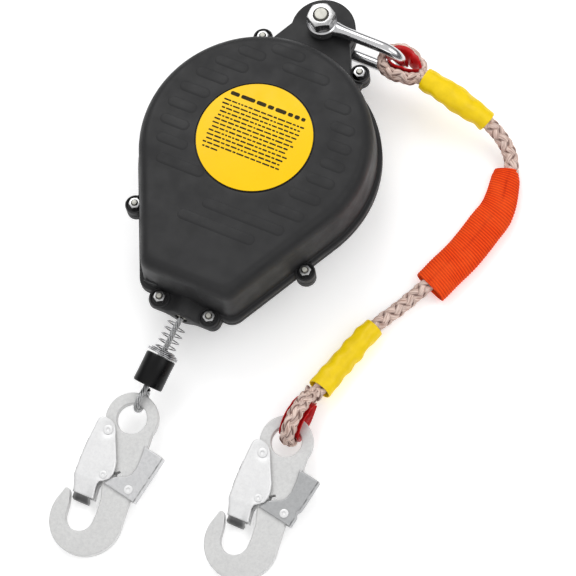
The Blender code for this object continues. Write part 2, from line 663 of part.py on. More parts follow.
for prefix, where in (("line_hook", LINE_HOOK_AT), ("anchor_hook", ANCHOR_HOOK_AT)):
    tilted = hook_place(where)
    pivot(prefix + "_axis", [prefix + "_body", prefix + "_gate_rivet", prefix + "_lever_rivet"], tilted)
    for moving, (x, y) in (("gate", GATE_PIVOT), ("lever", LEVER_PIVOT)):
        pieces = [f"{prefix}_{moving}"]
        if moving == "gate":
            pieces.append(prefix + "_gate_pin")
        pivot(f"{prefix}_{moving}_axis", pieces, tilted @ Matrix.Translation((x * 0.001, y * 0.001, 0)))

# ---- materials: colour, roughness, metallic -------------------------------------------------
FINISHES = {
    "black_plastic": ((0.045, 0.045, 0.047), 0.55, 0.0),
    "label": ((0.95, 0.66, 0.01), 0.45, 0.0),
    "bright_plate": ((0.75, 0.75, 0.74), 0.15, 1.0),
    "zinc": ((0.70, 0.70, 0.69), 0.38, 1.0),
    "dark_steel": ((0.22, 0.22, 0.23), 0.45, 0.9),
    "spring_steel": ((0.55, 0.55, 0.55), 0.25, 1.0),
    "cast_aluminium": ((0.60, 0.60, 0.61), 0.4, 1.0),
    "friction": ((0.16, 0.11, 0.08), 0.8, 0.0),
    "bronze": ((0.60, 0.40, 0.18), 0.35, 1.0),
    "cable": ((0.50, 0.50, 0.50), 0.35, 1.0),
    "black_rubber": ((0.012, 0.012, 0.012), 0.25, 0.0),
    "rope": ((0.62, 0.47, 0.42), 0.9, 0.0),
    "red_plastic": ((0.60, 0.015, 0.015), 0.35, 0.0),
    "yellow_shrink": ((0.78, 0.70, 0.01), 0.45, 0.0),
    "orange_webbing": ((0.88, 0.13, 0.02), 0.75, 0.0),
}
WEARS = (
    ("front_cover", "black_plastic"), ("rear_cover", "black_plastic"), ("label_plate", "label"),
    ("cover_", "bright_plate"), ("shackle_", "bright_plate"), ("hanger_frame", "dark_steel"),
    ("main_shaft", "dark_steel"), ("shaft_nut", "dark_steel"), ("power_spring", "spring_steel"),
    ("recoil_spring", "spring_steel"), ("pawl_", "spring_steel"), ("brake_ring", "dark_steel"),
    ("clamp_ring", "dark_steel"), ("friction_", "friction"), ("cable_drum", "cast_aluminium"),
    ("line_ferrule", "cast_aluminium"), ("drum_bush", "bronze"), ("exit_bush", "bronze"),
    ("cable_", "cable"), ("line_cable", "cable"), ("line_bumper", "black_rubber"),
    ("line_hook_", "zinc"), ("anchor_hook_", "zinc"), ("sling_rope", "rope"),
    ("upper_thimble", "red_plastic"), ("lower_thimble", "red_plastic"),
    ("upper_sleeve", "yellow_shrink"), ("lower_sleeve", "yellow_shrink"), ("webbing_sleeve", "orange_webbing"),
)
for finish, (colour, roughness, metallic) in FINISHES.items():
    material = bpy.data.materials.new(finish)
    material.use_nodes = True
    shader = material.node_tree.nodes["Principled BSDF"]
    shader.inputs["Base Color"].default_value = (*colour, 1.0)
    shader.inputs["Roughness"].default_value = roughness
    shader.inputs["Metallic"].default_value = metallic
for obj in bpy.data.objects:
    if obj.type == "EMPTY" or obj.hide_render:
        continue
    finish = next(wears for start, wears in WEARS if obj.name.startswith(start))
    obj.data.materials.clear()
    obj.data.materials.append(bpy.data.materials[finish])
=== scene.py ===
"""Looks of the self retracting lifeline.

Lengths in this file are millimetres in the frame of the CAD model, which has its back on z = 0, +Y towards
the shackle and +Z towards the label. The mesh helpers turn them into metres.
"""

import random
from math import acos, atan2, copysign, cos, degrees, exp, hypot, pi, radians, sin, sqrt

import bmesh
import bpy
from mathutils import Matrix, Vector, noise


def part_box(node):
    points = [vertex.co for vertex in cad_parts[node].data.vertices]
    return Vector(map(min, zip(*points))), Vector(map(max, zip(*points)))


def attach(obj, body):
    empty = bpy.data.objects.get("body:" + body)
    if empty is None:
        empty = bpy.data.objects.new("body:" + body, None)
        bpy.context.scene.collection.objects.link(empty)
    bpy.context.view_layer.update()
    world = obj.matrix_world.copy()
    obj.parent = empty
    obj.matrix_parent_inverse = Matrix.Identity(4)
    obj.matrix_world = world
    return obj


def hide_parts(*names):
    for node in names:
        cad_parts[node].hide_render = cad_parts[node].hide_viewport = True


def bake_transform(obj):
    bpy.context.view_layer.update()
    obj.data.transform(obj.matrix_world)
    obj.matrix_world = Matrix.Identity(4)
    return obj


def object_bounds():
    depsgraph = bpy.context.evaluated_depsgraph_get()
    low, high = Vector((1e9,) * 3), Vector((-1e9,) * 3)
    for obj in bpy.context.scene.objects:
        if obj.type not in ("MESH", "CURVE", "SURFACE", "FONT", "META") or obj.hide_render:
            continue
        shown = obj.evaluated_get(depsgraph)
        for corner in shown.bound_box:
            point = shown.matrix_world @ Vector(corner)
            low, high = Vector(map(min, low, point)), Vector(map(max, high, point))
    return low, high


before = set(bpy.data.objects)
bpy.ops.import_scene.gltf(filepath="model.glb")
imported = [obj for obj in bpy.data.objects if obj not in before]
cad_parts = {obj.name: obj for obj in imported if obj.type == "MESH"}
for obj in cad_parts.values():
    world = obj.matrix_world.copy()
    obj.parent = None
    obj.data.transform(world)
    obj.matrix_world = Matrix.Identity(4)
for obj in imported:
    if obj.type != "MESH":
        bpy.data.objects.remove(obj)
cad_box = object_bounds()
MM = 0.001

# ---- driving dimensions; all but those of the cover lugs are the CAD's own ---------------------------
MID = 43.0                # parting plane of the two covers
RIM_R = 93.0
BOTTOM_Y = -129.0
BOTTOM_HALF_W = 39.0
TAB_Y = -139.0
TAB_HALF_W = 29.0
EAR_Y = 117.0
EAR_R = 25.0
EAR_HALF_T = 9.7
SEAM_GAP = 0.15           # each cover stands this far back from the parting plane
LUG_R = 7.6               # a little slimmer than in the CAD
LUG_NECK_DEPTH = 4.3
BOLT_HOLE_R = 2.7
LUGS = [(-71, -71), (71, -71), (-41, 94), (41, 94), (-20.5, -132), (20.5, -132)]
LABEL_R = 44.0
CABLE_R = 2.4
BUMPER_TOP = Vector((-3.5, -169.0, 32.5))    # end of the bumper towards the housing
BUMPER_END = Vector((-5.2, -192.0, 26.0))
BOW_R = 4.5
BOW_HALF_GAP = 17.0
BOW_REACH = 67.0
BOW_TURN_DEG = -1.0
UPPER_EYE = Vector((64.2, 116.5, MID))
UPPER_TURN = radians(-12)
LOWER_EYE = Vector((107.5, -173.4, 18.9))
LOWER_RISE = radians(12)
HOOK_TILT_DEG = 7.0
LINE_HOOK_AT = (-6.0, -217.0, 8.6)
ANCHOR_HOOK_AT = (107.5, -188.0, 8.6)
SLING_ROUTE = [
    (82, 112.6, 43), (92, 111, 42), (103, 109.4, 40), (120, 107, 34), (140, 104, 26), (155, 99, 18),
    (166, 91, 11), (172, 80, 8), (174.5, 68, 7.5), (175.5, 48, 7.5), (171.5, 28, 7.5), (164.5, 3, 7.5),
    (156.5, -16, 7.5), (150.5, -31, 7.5), (139, -56, 7.5), (128, -78, 8.6), (119.5, -106, 8.7),
    (113, -132, 10.4), (109.5, -147, 12.6)]

# ---- camera -----------------------------------------------------------------------------------------
# Where the picture's right and down point, and the camera's place in metres.
RIGHT = Vector((0.9035, 0.4191, -0.0899))
DOWN = Vector((0.3593, -0.8548, -0.3744))
CAMERA_AT = (0.527, -0.693, 1.874)
CAMERA_LENS = 166.73
camera_data = bpy.data.cameras.new("camera")
camera_data.sensor_width = 36.0
camera_data.lens = CAMERA_LENS
camera_data.clip_end = 20.0
camera = bpy.data.objects.new("camera", camera_data)
bpy.context.scene.collection.objects.link(camera)
right = RIGHT.normalized()
back = right.cross(-DOWN).normalized()
turn = Matrix((right, back.cross(right), back)).transposed().to_4x4()
camera.matrix_world = Matrix.Translation(CAMERA_AT) @ turn
bpy.context.scene.camera = camera


# ---- mesh helpers -----------------------------------------------------------------------------------
def mesh_object(name, points, faces, sharp_deg=32.0):
    """An object from points in millimetres, shaded smooth up to an angle."""
    mesh = bpy.data.meshes.new(name)
    mesh.from_pydata([Vector(p) * MM for p in points], [], faces)
    mesh.validate()
    mesh.shade_smooth()
    mesh.set_sharp_from_angle(angle=radians(sharp_deg))
    obj = bpy.data.objects.new(name, mesh)
    bpy.context.scene.collection.objects.link(obj)
    return obj


def grid_faces(rows, around=False):
    """Four-sided faces between rows of the same number of points; around joins each row's ends."""
    count = len(rows[0])
    faces = []
    for r in range(len(rows) - 1):
        for i in range(count if around else count - 1):
            j = (i + 1) % count
            faces.append((r * count + i, r * count + j, (r + 1) * count + j, (r + 1) * count + i))
    return faces


def loft(name, rows, caps=True, place=None, sharp_deg=32.0):
    """A skin through closed rows of the same number of points; caps closes the first and last."""
    count = len(rows[0])
    points = [place @ Vector(p) if place else Vector(p) for row in rows for p in row]
    faces = grid_faces(rows, around=True)
    if caps:
        faces.append(tuple(reversed(range(count))))
        faces.append(tuple(range((len(rows) - 1) * count, len(rows) * count)))
    return outward(mesh_object(name, points, faces, sharp_deg))


def outward(obj):
    """Turns every face to point out of its closed skin."""
    bm = bmesh.new()
    bm.from_mesh(obj.data)
    bmesh.ops.remove_doubles(bm, verts=bm.verts, dist=1e-7)
    bmesh.ops.recalc_face_normals(bm, faces=bm.faces)
    bm.to_mesh(obj.data)
    bm.free()
    return obj


def mark(obj, name, values):
    """Gives each point a value that a material reads."""
    obj.data.attributes.new(name, "FLOAT", "POINT").data.foreach_set("value", values)


def applied(obj):
    """The object with its modifiers made part of its mesh."""
    graph = bpy.context.evaluated_depsgraph_get()
    mesh = bpy.data.meshes.new_from_object(obj.evaluated_get(graph))
    obj.modifiers.clear()
    obj.data = mesh
    return obj


def joined(name, parts):
    """One object from several."""
    bpy.context.view_layer.update()
    for part in bpy.context.selected_objects:
        part.select_set(False)
    for part in parts:
        part.select_set(True)
    bpy.context.view_layer.objects.active = parts[0]
    bpy.ops.object.join()
    parts[0].name = name
    parts[0].data.name = name
    parts[0].select_set(False)
    return parts[0]


def cut(obj, cutters):
    """Takes the cutters out of the object and removes them."""
    for cutter in cutters:
        modifier = obj.modifiers.new("cut", "BOOLEAN")
        modifier.operation = "DIFFERENCE"
        modifier.solver = "EXACT"
        modifier.object = cutter
    applied(obj)
    for cutter in cutters:
        bpy.data.objects.remove(cutter)
    obj.data.shade_smooth()
    obj.data.set_sharp_from_angle(angle=radians(32))
    return obj


def polar(radius, angle):
    """The place in a plane at a radius and an angle in radians."""
    return radius * cos(angle), radius * sin(angle)


def round_angles(count):
    """Angles in radians that share out a full circle."""
    return [2 * pi * k / count for k in range(count)]


def arc(radius, count, at=(0, 0), start=0.0, end=360.0):
    """Points of an arc in degrees; a full circle leaves out its repeated last point."""
    steps = count if abs(end - start) >= 360.0 else count - 1
    points = []
    for i in range(count):
        x, y = polar(radius, radians(start + (end - start) * i / steps))
        points.append((at[0] + x, at[1] + y))
    return points


def moved(x, y, z=0.0):
    return Matrix.Translation((x, y, z))


def turned(angle_deg, axis):
    return Matrix.Rotation(radians(angle_deg), 4, axis)


def lathe(name, profile, place=None, sides=48, sharp_deg=32.0):
    """A closed profile of (radius, height) turned about Z."""
    rows = [[(*polar(r, angle), z) for r, z in profile] for angle in round_angles(sides)]
    return loft(name, rows + rows[:1], caps=False, place=place, sharp_deg=sharp_deg)


def plate(name, outline, low, high, holes=(), edge=0.6, place=None):
    """A flat plate with rounded edges and holes through it, from outlines in its own plane."""
    curve = bpy.data.curves.new(name, "CURVE")
    curve.dimensions = "2D"
    curve.fill_mode = "BOTH"
    for points in [outline, *holes]:
        spline = curve.splines.new("POLY")
        spline.points.add(len(points) - 1)
        for target, (x, y) in zip(spline.points, points):
            target.co = (x * MM, y * MM, 0, 1)
        spline.use_cyclic_u = True
    curve.extrude = ((high - low) / 2 - edge) * MM
    curve.bevel_depth = edge * MM
    curve.offset = -edge * MM
    curve.bevel_resolution = 2
    helper = bpy.data.objects.new(name + "_curve", curve)
    bpy.context.scene.collection.objects.link(helper)
    graph = bpy.context.evaluated_depsgraph_get()
    mesh = bpy.data.meshes.new_from_object(helper.evaluated_get(graph))
    bpy.data.objects.remove(helper)
    lift = Matrix.Translation((0, 0, (low + high) / 2 * MM))
    mesh.transform((scaled(place) if place else Matrix.Identity(4)) @ lift)
    mesh.shade_smooth()
    mesh.set_sharp_from_angle(angle=radians(32))
    obj = bpy.data.objects.new(name, mesh)
    bpy.context.scene.collection.objects.link(obj)
    outward(obj)
    return flat_faces_kept(obj)


def flat_faces_kept(obj):
    """Large flat faces shade flat beside their rounded edges."""
    modifier = obj.modifiers.new("flat faces", "WEIGHTED_NORMAL")
    modifier.keep_sharp = True
    modifier.weight = 90
    return applied(obj)


def scaled(place):
    """A placement in millimetres as one in metres."""
    found = place.copy()
    found.translation = place.translation * MM
    return found


def smooth_path(points, steps):
    """Catmull-Rom points through the given ones."""
    ends = [Vector(p) for p in points]
    ends = [2 * ends[0] - ends[1]] + ends + [2 * ends[-1] - ends[-2]]
    found = []
    for i in range(1, len(ends) - 2):
        a, b, c, d = ends[i - 1:i + 3]
        for k in range(steps):
            t = k / steps
            found.append(0.5 * ((2 * b) + (c - a) * t + (2 * a - 5 * b + 4 * c - d) * t * t
                                + (3 * b - 3 * c + d - a) * t ** 3))
    return found + [ends[-2]]


def even_path(points, spacing):
    """The same line with points an even distance apart, and each point's distance from the start."""
    lengths = [0.0]
    for a, b in zip(points, points[1:]):
        lengths.append(lengths[-1] + (b - a).length)
    count = max(2, int(round(lengths[-1] / spacing)) + 1)
    found, travel, k = [], [], 0
    for i in range(count):
        want = lengths[-1] * i / (count - 1)
        while k < len(points) - 2 and lengths[k + 1] < want:
            k += 1
        share = (want - lengths[k]) / max(lengths[k + 1] - lengths[k], 1e-9)
        found.append(points[k].lerp(points[k + 1], share))
        travel.append(want)
    return found, travel


def frames_along(path, up=None):
    """For each point its direction, a side vector and an up vector, turning as little as possible."""
    found, side = [], None
    for i, point in enumerate(path):
        along = (path[min(i + 1, len(path) - 1)] - path[max(i - 1, 0)]).normalized()
        if up is not None:
            side = along.cross(up)
        elif side is None:
            side = along.cross(Vector((0, 0, 1)))
            if side.length < 0.1:
                side = along.orthogonal()
        side = (side - along * side.dot(along)).normalized()
        found.append((point, along, side, side.cross(along)))
    return found


def tube(name, path, section, sides):
    """A tube along a path; section(index, angle) gives its (across, up) offset from the line."""
    rows = []
    for i, (point, _, side, above) in enumerate(frames_along(path)):
        offsets = [section(i, angle) for angle in round_angles(sides)]
        rows.append([point + side * across + above * rise for across, rise in offsets])
    return loft(name, rows, sharp_deg=60)


def heights(node):
    """The lowest and highest places of a CAD node along Z."""
    low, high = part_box(node)
    return low.z / MM, high.z / MM


def finish_piece(obj, body, material, *nodes):
    """The piece rides on a body, wears a material and stands for these CAD nodes."""
    obj.data.materials.clear()
    obj.data.materials.append(material)
    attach(obj, body)
    if nodes:
        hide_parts(*nodes)
    return obj


# ---- materials --------------------------------------------------------------------------------------
def tone(red, green, blue):
    """A colour from 0-255 values as a screen shows them."""
    linear = [((c / 255 + 0.055) / 1.055) ** 2.4 if c > 10 else c / 255 / 12.92 for c in (red, green, blue)]
    return (*linear, 1.0)


class Shader:
    """A Principled material that noise, cell patterns and bumps are added to one at a time."""

    def __init__(self, name, colour, roughness, metallic=0.0, **sockets):
        self.material = bpy.data.materials.new(name)
        self.material.use_nodes = True
        self.tree = self.material.node_tree
        self.shader = self.tree.nodes["Principled BSDF"]
        self.shader.inputs["Base Color"].default_value = colour
        self.shader.inputs["Roughness"].default_value = roughness
        self.shader.inputs["Metallic"].default_value = metallic
        for socket, value in sockets.items():
            self.shader.inputs[socket.replace("_", " ")].default_value = value
        self.colour = colour
        self.material.diffuse_color = colour
        self.place = self.tree.nodes.new("ShaderNodeTexCoord").outputs["Object"]
        self.last_normal = None

    def node(self, kind, **settings):
        made = self.tree.nodes.new(kind)
        for key, value in settings.items():
            setattr(made, key, value)
        return made

    def link(self, source, target):
        self.tree.links.new(source, target)

    def noise(self, scale, detail=3.0, stretch=(1, 1, 1), roughness=0.55):
        """A noise whose features are about 1/scale metres wide."""
        mapping = self.node("ShaderNodeMapping")
        mapping.inputs["Scale"].default_value = stretch
        texture = self.node("ShaderNodeTexNoise")
        texture.inputs["Scale"].default_value = scale
        texture.inputs["Detail"].default_value = detail
        texture.inputs["Roughness"].default_value = roughness
        self.link(self.place, mapping.inputs["Vector"])
        self.link(mapping.outputs["Vector"], texture.inputs["Vector"])
        return texture.outputs["Fac"]

    def cells(self, scale):
        """A cell pattern whose cells are about 1/scale metres wide."""
        texture = self.node("ShaderNodeTexVoronoi")
        texture.inputs["Scale"].default_value = scale
        self.link(self.place, texture.inputs["Vector"])
        return texture

    def spread(self, value, low, high, start=0.35, end=0.65):
        """The value from start to end stretched over low to high."""
        ranged = self.node("ShaderNodeMapRange")
        ranged.inputs["From Min"].default_value = start
        ranged.inputs["From Max"].default_value = end
        ranged.inputs["To Min"].default_value = low
        ranged.inputs["To Max"].default_value = high
        self.link(value, ranged.inputs["Value"])
        return ranged.outputs["Result"]

    def tint(self, value, other, start=0.35, end=0.65, most=1.0):
        """Mixes the colour so far with another by a value."""
        mix = self.node("ShaderNodeMix", data_type="RGBA")
        socket = self.shader.inputs["Base Color"]
        if socket.is_linked:
            self.link(socket.links[0].from_socket, mix.inputs[6])
        else:
            mix.inputs[6].default_value = self.colour
        mix.inputs[7].default_value = other
        self.link(self.spread(value, 0.0, most, start, end), mix.inputs[0])
        self.link(mix.outputs[2], socket)
        return self

    def vary_roughness(self, value, low, high):
        self.link(self.spread(value, low, high), self.shader.inputs["Roughness"])
        return self

    def bump(self, value, depth_mm, strength=1.0):
        """Adds relief on top of the bumps so far."""
        made = self.node("ShaderNodeBump")
        made.inputs["Distance"].default_value = depth_mm * MM
        made.inputs["Strength"].default_value = strength
        self.link(value, made.inputs["Height"])
        if self.last_normal is not None:
            self.link(self.last_normal, made.inputs["Normal"])
        self.last_normal = made.outputs["Normal"]
        self.link(self.last_normal, self.shader.inputs["Normal"])
        return self

    def edge_wear(self, other, start=0.53, end=0.62, most=0.5):
        """Convex edges take another colour."""
        return self.tint(self.node("ShaderNodeNewGeometry").outputs["Pointiness"], other, start, end, most)

    def attribute(self, name):
        return self.node("ShaderNodeAttribute", attribute_name=name).outputs["Fac"]


def moulded_plastic(name, colour, lighter, roughness=0.5, gloss=0.3):
    shader = Shader(name, colour, roughness, Specular_IOR_Level=gloss)
    shader.tint(shader.noise(18, 4), lighter, 0.3, 0.75, 0.35)
    shader.edge_wear(lighter, 0.52, 0.6, 0.8)
    shader.vary_roughness(shader.noise(60, 5), roughness - 0.07, roughness + 0.09)
    shader.bump(shader.noise(1900, 2), 0.05, 0.5)
    shader.bump(shader.noise(70, 2), 0.10, 0.25)
    return shader.material


def polished(name, colour, roughness=0.1):
    shader = Shader(name, colour, roughness, 1.0)
    shader.vary_roughness(shader.noise(130, 5), roughness * 0.6, roughness * 1.9)
    shader.tint(shader.noise(45, 4), tuple(c * 0.82 for c in colour[:3]) + (1.0,), 0.45, 0.8, 0.5)
    shader.bump(shader.noise(420, 3), 0.02, 0.35)
    return shader.material


def zinc_plate(name, colour, darker, roughness=0.4):
    shader = Shader(name, colour, roughness, 0.45)
    shader.tint(shader.noise(420, 5, roughness=0.75), darker, 0.40, 0.68, 0.7)
    shader.tint(shader.noise(60, 4), darker, 0.42, 0.8, 0.3)
    shader.edge_wear(tone(252, 252, 252), 0.53, 0.62, 0.4)
    # Painted shade along the rounded folds of the gate and lever, broken up by noise.
    fold_shade = shader.node("ShaderNodeMath", operation="MULTIPLY")
    shader.link(shader.attribute("fold"), fold_shade.inputs[0])
    shader.link(shader.noise(260, 3), fold_shade.inputs[1])
    shader.tint(fold_shade.outputs["Value"], tone(90, 90, 90), 0.40, 0.56, 0.6)
    shader.vary_roughness(shader.noise(240, 4), roughness - 0.08, roughness + 0.12)
    shader.bump(shader.noise(900, 4), 0.06, 0.5)
    shader.bump(shader.noise(120, 2), 0.10, 0.2)
    return shader.material


def machined(name, colour, roughness=0.32, metallic=1.0):
    """Turned or stamped metal with fine tool marks about Z and a little grime."""
    shader = Shader(name, colour, roughness, metallic)
    shader.tint(shader.noise(90, 5), tuple(c * 0.6 for c in colour[:3]) + (1.0,), 0.5, 0.8, 0.5)
    shader.vary_roughness(shader.noise(300, 3), roughness - 0.08, roughness + 0.1)
    shader.bump(shader.noise(1400, 2, (0.05, 0.05, 1.0)), 0.04, 0.5)
    return shader.material


PLASTIC = moulded_plastic("housing_plastic", tone(33, 33, 34), tone(56, 56, 57), 0.52)
PLASTIC_DARK = moulded_plastic("housing_seam", tone(12, 12, 13), tone(24, 24, 25), 0.6)
CHROME = polished("chrome", (0.66, 0.66, 0.67, 1), 0.13)
NUT_ZINC = polished("nut_zinc", (0.50, 0.50, 0.50, 1), 0.24)
BOLT_END = machined("bolt_end_steel", tone(206, 205, 196), 0.5, 0.3)
THREAD = machined("thread_steel", tone(120, 118, 112), 0.35)
ZINC = zinc_plate("hook_zinc", tone(220, 220, 219), tone(200, 200, 200), 0.5)
BRIGHT_ZINC = zinc_plate("gate_zinc", tone(240, 240, 240), tone(226, 226, 227), 0.42)
STEEL = machined("frame_steel", tone(176, 178, 180))
DRUM_ALLOY = machined("drum_alloy", tone(196, 197, 199), 0.38)
SPRING_STEEL = machined("spring_steel", tone(96, 100, 108), 0.3)
BRONZE = machined("bush_bronze", tone(176, 128, 72), 0.35)
BUSH_PLASTIC = moulded_plastic("bush_plastic", tone(222, 220, 208), tone(238, 236, 226), 0.4)


def make_label_yellow():
    shader = Shader("label_yellow", tone(255, 208, 0), 0.42, Specular_IOR_Level=0.2)
    shader.tint(shader.noise(24, 3), tone(248, 196, 0), 0.35, 0.75, 0.6)
    shader.vary_roughness(shader.noise(80, 4), 0.28, 0.42)
    shader.bump(shader.noise(500, 3), 0.03, 0.3)
    return shader.material


def make_print():
    shader = Shader("label_print", tone(36, 30, 8), 0.6, Specular_IOR_Level=0.2)
    shader.tint(shader.noise(900, 3), tone(84, 70, 6), 0.4, 0.75, 0.6)
    shader.bump(shader.noise(1500, 2), 0.02, 0.4)
    return shader.material


def make_shrink():
    shader = Shader("shrink_sleeve_yellow", tone(250, 214, 0), 0.45, Specular_IOR_Level=0.3)
    shader.tint(shader.noise(120, 4), tone(226, 190, 0), 0.42, 0.8, 0.6)
    shader.vary_roughness(shader.noise(90, 4), 0.34, 0.52)
    shader.bump(shader.noise(150, 3), 0.5, 0.35)
    shader.bump(shader.noise(900, 3), 0.06, 0.4)
    return shader.material


def make_rope():
    shader = Shader("rope_fibre", tone(240, 216, 204), 0.85, Specular_IOR_Level=0.15)
    fibres = shader.node("ShaderNodeTexNoise")
    fibres.inputs["Scale"].default_value = 1.0
    fibres.inputs["Detail"].default_value = 3.0
    stretch = shader.node("ShaderNodeMapping")
    stretch.inputs["Scale"].default_value = (18.0, 0.16, 1.0)
    shader.link(shader.node("ShaderNodeUVMap", uv_map="fibre").outputs["UV"], stretch.inputs["Vector"])
    shader.link(stretch.outputs["Vector"], fibres.inputs["Vector"])
    shader.tint(fibres.outputs["Fac"], tone(160, 120, 106), 0.42, 0.64, 0.85)
    shader.tint(shader.noise(160, 3), tone(222, 204, 196), 0.4, 0.7, 0.5)
    # Painted shade on the strands' flanks and undersides, where they meet.
    shader.tint(shader.attribute("gap"), tone(96, 66, 60), 0.0, 1.0, 0.9)
    shader.bump(fibres.outputs["Fac"], 0.35, 0.8)
    shader.bump(shader.noise(2600, 2), 0.06, 0.5)
    return shader.material


def make_webbing():
    shader = Shader("webbing_orange", tone(254, 82, 20), 0.8, Specular_IOR_Level=0.15)
    # Painted shade in the grooves between the ribs and in the creases.
    shader.tint(shader.attribute("groove_shade"), tone(176, 34, 6), 0.0, 1.0, 0.95)
    shader.tint(shader.noise(60, 3), tone(255, 104, 40), 0.4, 0.75, 0.45)
    weave = shader.cells(1500)
    shader.tint(weave.outputs["Distance"], tone(220, 60, 14), 0.2, 0.7, 0.3)
    shader.bump(weave.outputs["Distance"], 0.12, 0.6)
    shader.bump(shader.noise(2800, 2), 0.06, 0.5)
    return shader.material


def make_thimble():
    shader = Shader("thimble_red", tone(196, 14, 18), 0.36, Specular_IOR_Level=0.35)
    shader.tint(shader.noise(70, 4), tone(160, 8, 14), 0.4, 0.75, 0.6)
    shader.vary_roughness(shader.noise(150, 4), 0.26, 0.5)
    shader.bump(shader.noise(700, 3), 0.05, 0.4)
    return shader.material


def make_rubber():
    shader = Shader("bumper_rubber", tone(2, 2, 3), 0.28, Specular_IOR_Level=0.22)
    shader.tint(shader.noise(60, 4), tone(14, 14, 15), 0.45, 0.8, 0.5)
    shader.vary_roughness(shader.noise(110, 5), 0.22, 0.42)
    shader.bump(shader.noise(1200, 3), 0.04, 0.4)
    return shader.material


def make_cable():
    shader = Shader("galvanised_cable", tone(196, 197, 198), 0.34, 0.8)
    shader.tint(shader.noise(800, 3), tone(120, 120, 120), 0.4, 0.7, 0.5)
    # Painted shade on the core and on the side of each strand that faces it.
    shader.tint(shader.attribute("gap"), tone(30, 30, 31), 0.0, 1.0, 0.95)
    shader.vary_roughness(shader.noise(500, 3), 0.26, 0.5)
    shader.bump(shader.noise(2200, 2), 0.05, 0.5)
    return shader.material


def make_friction():
    shader = Shader("friction_lining", tone(92, 74, 58), 0.85)
    shader.tint(shader.noise(700, 4), tone(150, 128, 96), 0.55, 0.75, 0.8)
    shader.bump(shader.noise(900, 4), 0.15, 0.7)
    return shader.material


LABEL_YELLOW, PRINT, SHRINK = make_label_yellow(), make_print(), make_shrink()
ROPE, WEBBING, THIMBLE = make_rope(), make_webbing(), make_thimble()
RUBBER, CABLE, FRICTION = make_rubber(), make_cable(), make_friction()


# ---- sling: braided rope, two eyes, sleeves and webbing ----------------------------------------------
def bundle(name, strands, crevice_shade):
    """One mesh of several strands, each a list of rings of points; the last argument marks how deep each
    point lies, for painted shade between the strands.
    """
    points, faces = [], []
    for rings in strands:
        for i, ring in enumerate(rings):
            base, sides = len(points), len(ring)
            points += ring
            if i:
                for k in range(sides):
                    m = (k + 1) % sides
                    faces.append((base - sides + k, base - sides + m, base + m, base + k))
            if i in (0, len(rings) - 1):
                faces.append(tuple(range(base, base + sides)))
    obj = mesh_object(name, points, faces, 80)
    mark(obj, "gap", crevice_shade)
    return obj


BRAID_PITCH = 46.0       # length of one full turn of a strand
STRAND_HALF_W = 2.75
STRAND_HALF_T = 1.75
BRAID_R = 3.35           # centre line radius of the strands
BRAID_WAVE = 0.85        # how far a strand rises over and dips under the others


def braid(name, path, up=None, thin=1.0):
    """Eight strands plaited round a path, four each way, as one mesh; thin flattens it across up."""
    line, travel = even_path(path, 1.0)
    stations = frames_along(line, up)
    sides = 12
    strands, crevice_shade, fibre = [], [], []
    for way in (1, -1):
        for strand in range(4):
            centres = []
            for (point, along, side, above), s in zip(stations, travel):
                angle = way * 2 * pi * s / BRAID_PITCH + pi / 2 * strand
                wave = way * cos(8 * pi * s / BRAID_PITCH)
                out = side * cos(angle) + above * sin(angle)
                flat = side * (cos(angle) * thin) + above * sin(angle)
                centres.append((point + flat * (BRAID_R + BRAID_WAVE * wave), out, wave, s))
            rings = []
            for i, (centre, out, wave, s) in enumerate(centres):
                ahead = centres[min(i + 1, len(centres) - 1)][0] - centres[max(i - 1, 0)][0]
                ahead.normalize()
                out = (out - ahead * out.dot(ahead)).normalized()
                wide = ahead.cross(out)
                ring = []
                for k, a in enumerate(round_angles(sides)):
                    lobe = 1.0 + 0.05 * cos(5 * a + s * 0.5)
                    ring.append(centre + wide * (STRAND_HALF_W * lobe * cos(a))
                                + out * (STRAND_HALF_T * lobe * sin(a)))
                    # Painted shade: dark towards the strand's flanks and over its inner half.
                    flank = max(0.0, abs(cos(a)) - 0.72) / 0.28
                    low = 1.0 if sin(a) < 0.1 else 0.0
                    crevice_shade.append(min(1.0, 0.85 * flank ** 1.5 + 0.9 * low))
                    fibre.append((k / sides + s * 0.012, s))
                rings.append(ring)
            strands.append(rings)
    obj = bundle(name, strands, crevice_shade)
    layer = obj.data.uv_layers.new(name="fibre")
    for loop in obj.data.loops:
        layer.data[loop.index].uv = fibre[loop.vertex_index]
    return obj


UPPER_ROLL = radians(-21)
upper_place = (Matrix.Translation(UPPER_EYE) @ Matrix.Rotation(UPPER_TURN, 4, "Z")
               @ Matrix.Rotation(UPPER_ROLL, 4, "X"))


def upper(x, y, lift=0.0):
    return upper_place @ Vector((x, y, lift))


def lower(x, z, aside=0.0):
    c, s = cos(LOWER_RISE), sin(LOWER_RISE)
    return LOWER_EYE + Vector((aside, c * x + s * z, -s * x + c * z))


def eye_line(radius, throat):
    """Teardrop round a thimble: out from the throat, round the back and in again."""
    points = [(throat + 5, 2.6), (throat, 3.0), ((throat + 8) / 2 + 1, radius * 0.64)]
    points += arc(radius, 13, (0, 0), 52, 308)
    return points + [((throat + 8) / 2 + 1, -radius * 0.64), (throat, -3.0), (throat + 5, -2.6)]


route = smooth_path(SLING_ROUTE, 8)
rope = finish_piece(braid("sling_rope_braid", route), "sling", ROPE, "sling_rope")
UPPER_EYE_R, LOWER_EYE_R = 14.3, 14.7
EYE_THIN = 0.42          # how flat the braid lies where it goes round an eye
EYE_HALF_T = 4.0         # half the thickness of the flattened rope round an eye
upper_eye = braid("sling_upper_eye", smooth_path([upper(x, y) for x, y in eye_line(UPPER_EYE_R, 20)], 6),
                  upper(0, 0, 1) - upper(0, 0), EYE_THIN)
lower_eye = braid("sling_lower_eye", smooth_path([lower(x, z) for x, z in eye_line(LOWER_EYE_R, 25)], 6),
                  Vector((1, 0, 0)), EYE_THIN)
finish_piece(upper_eye, "sling", ROPE)
finish_piece(lower_eye, "sling", ROPE)


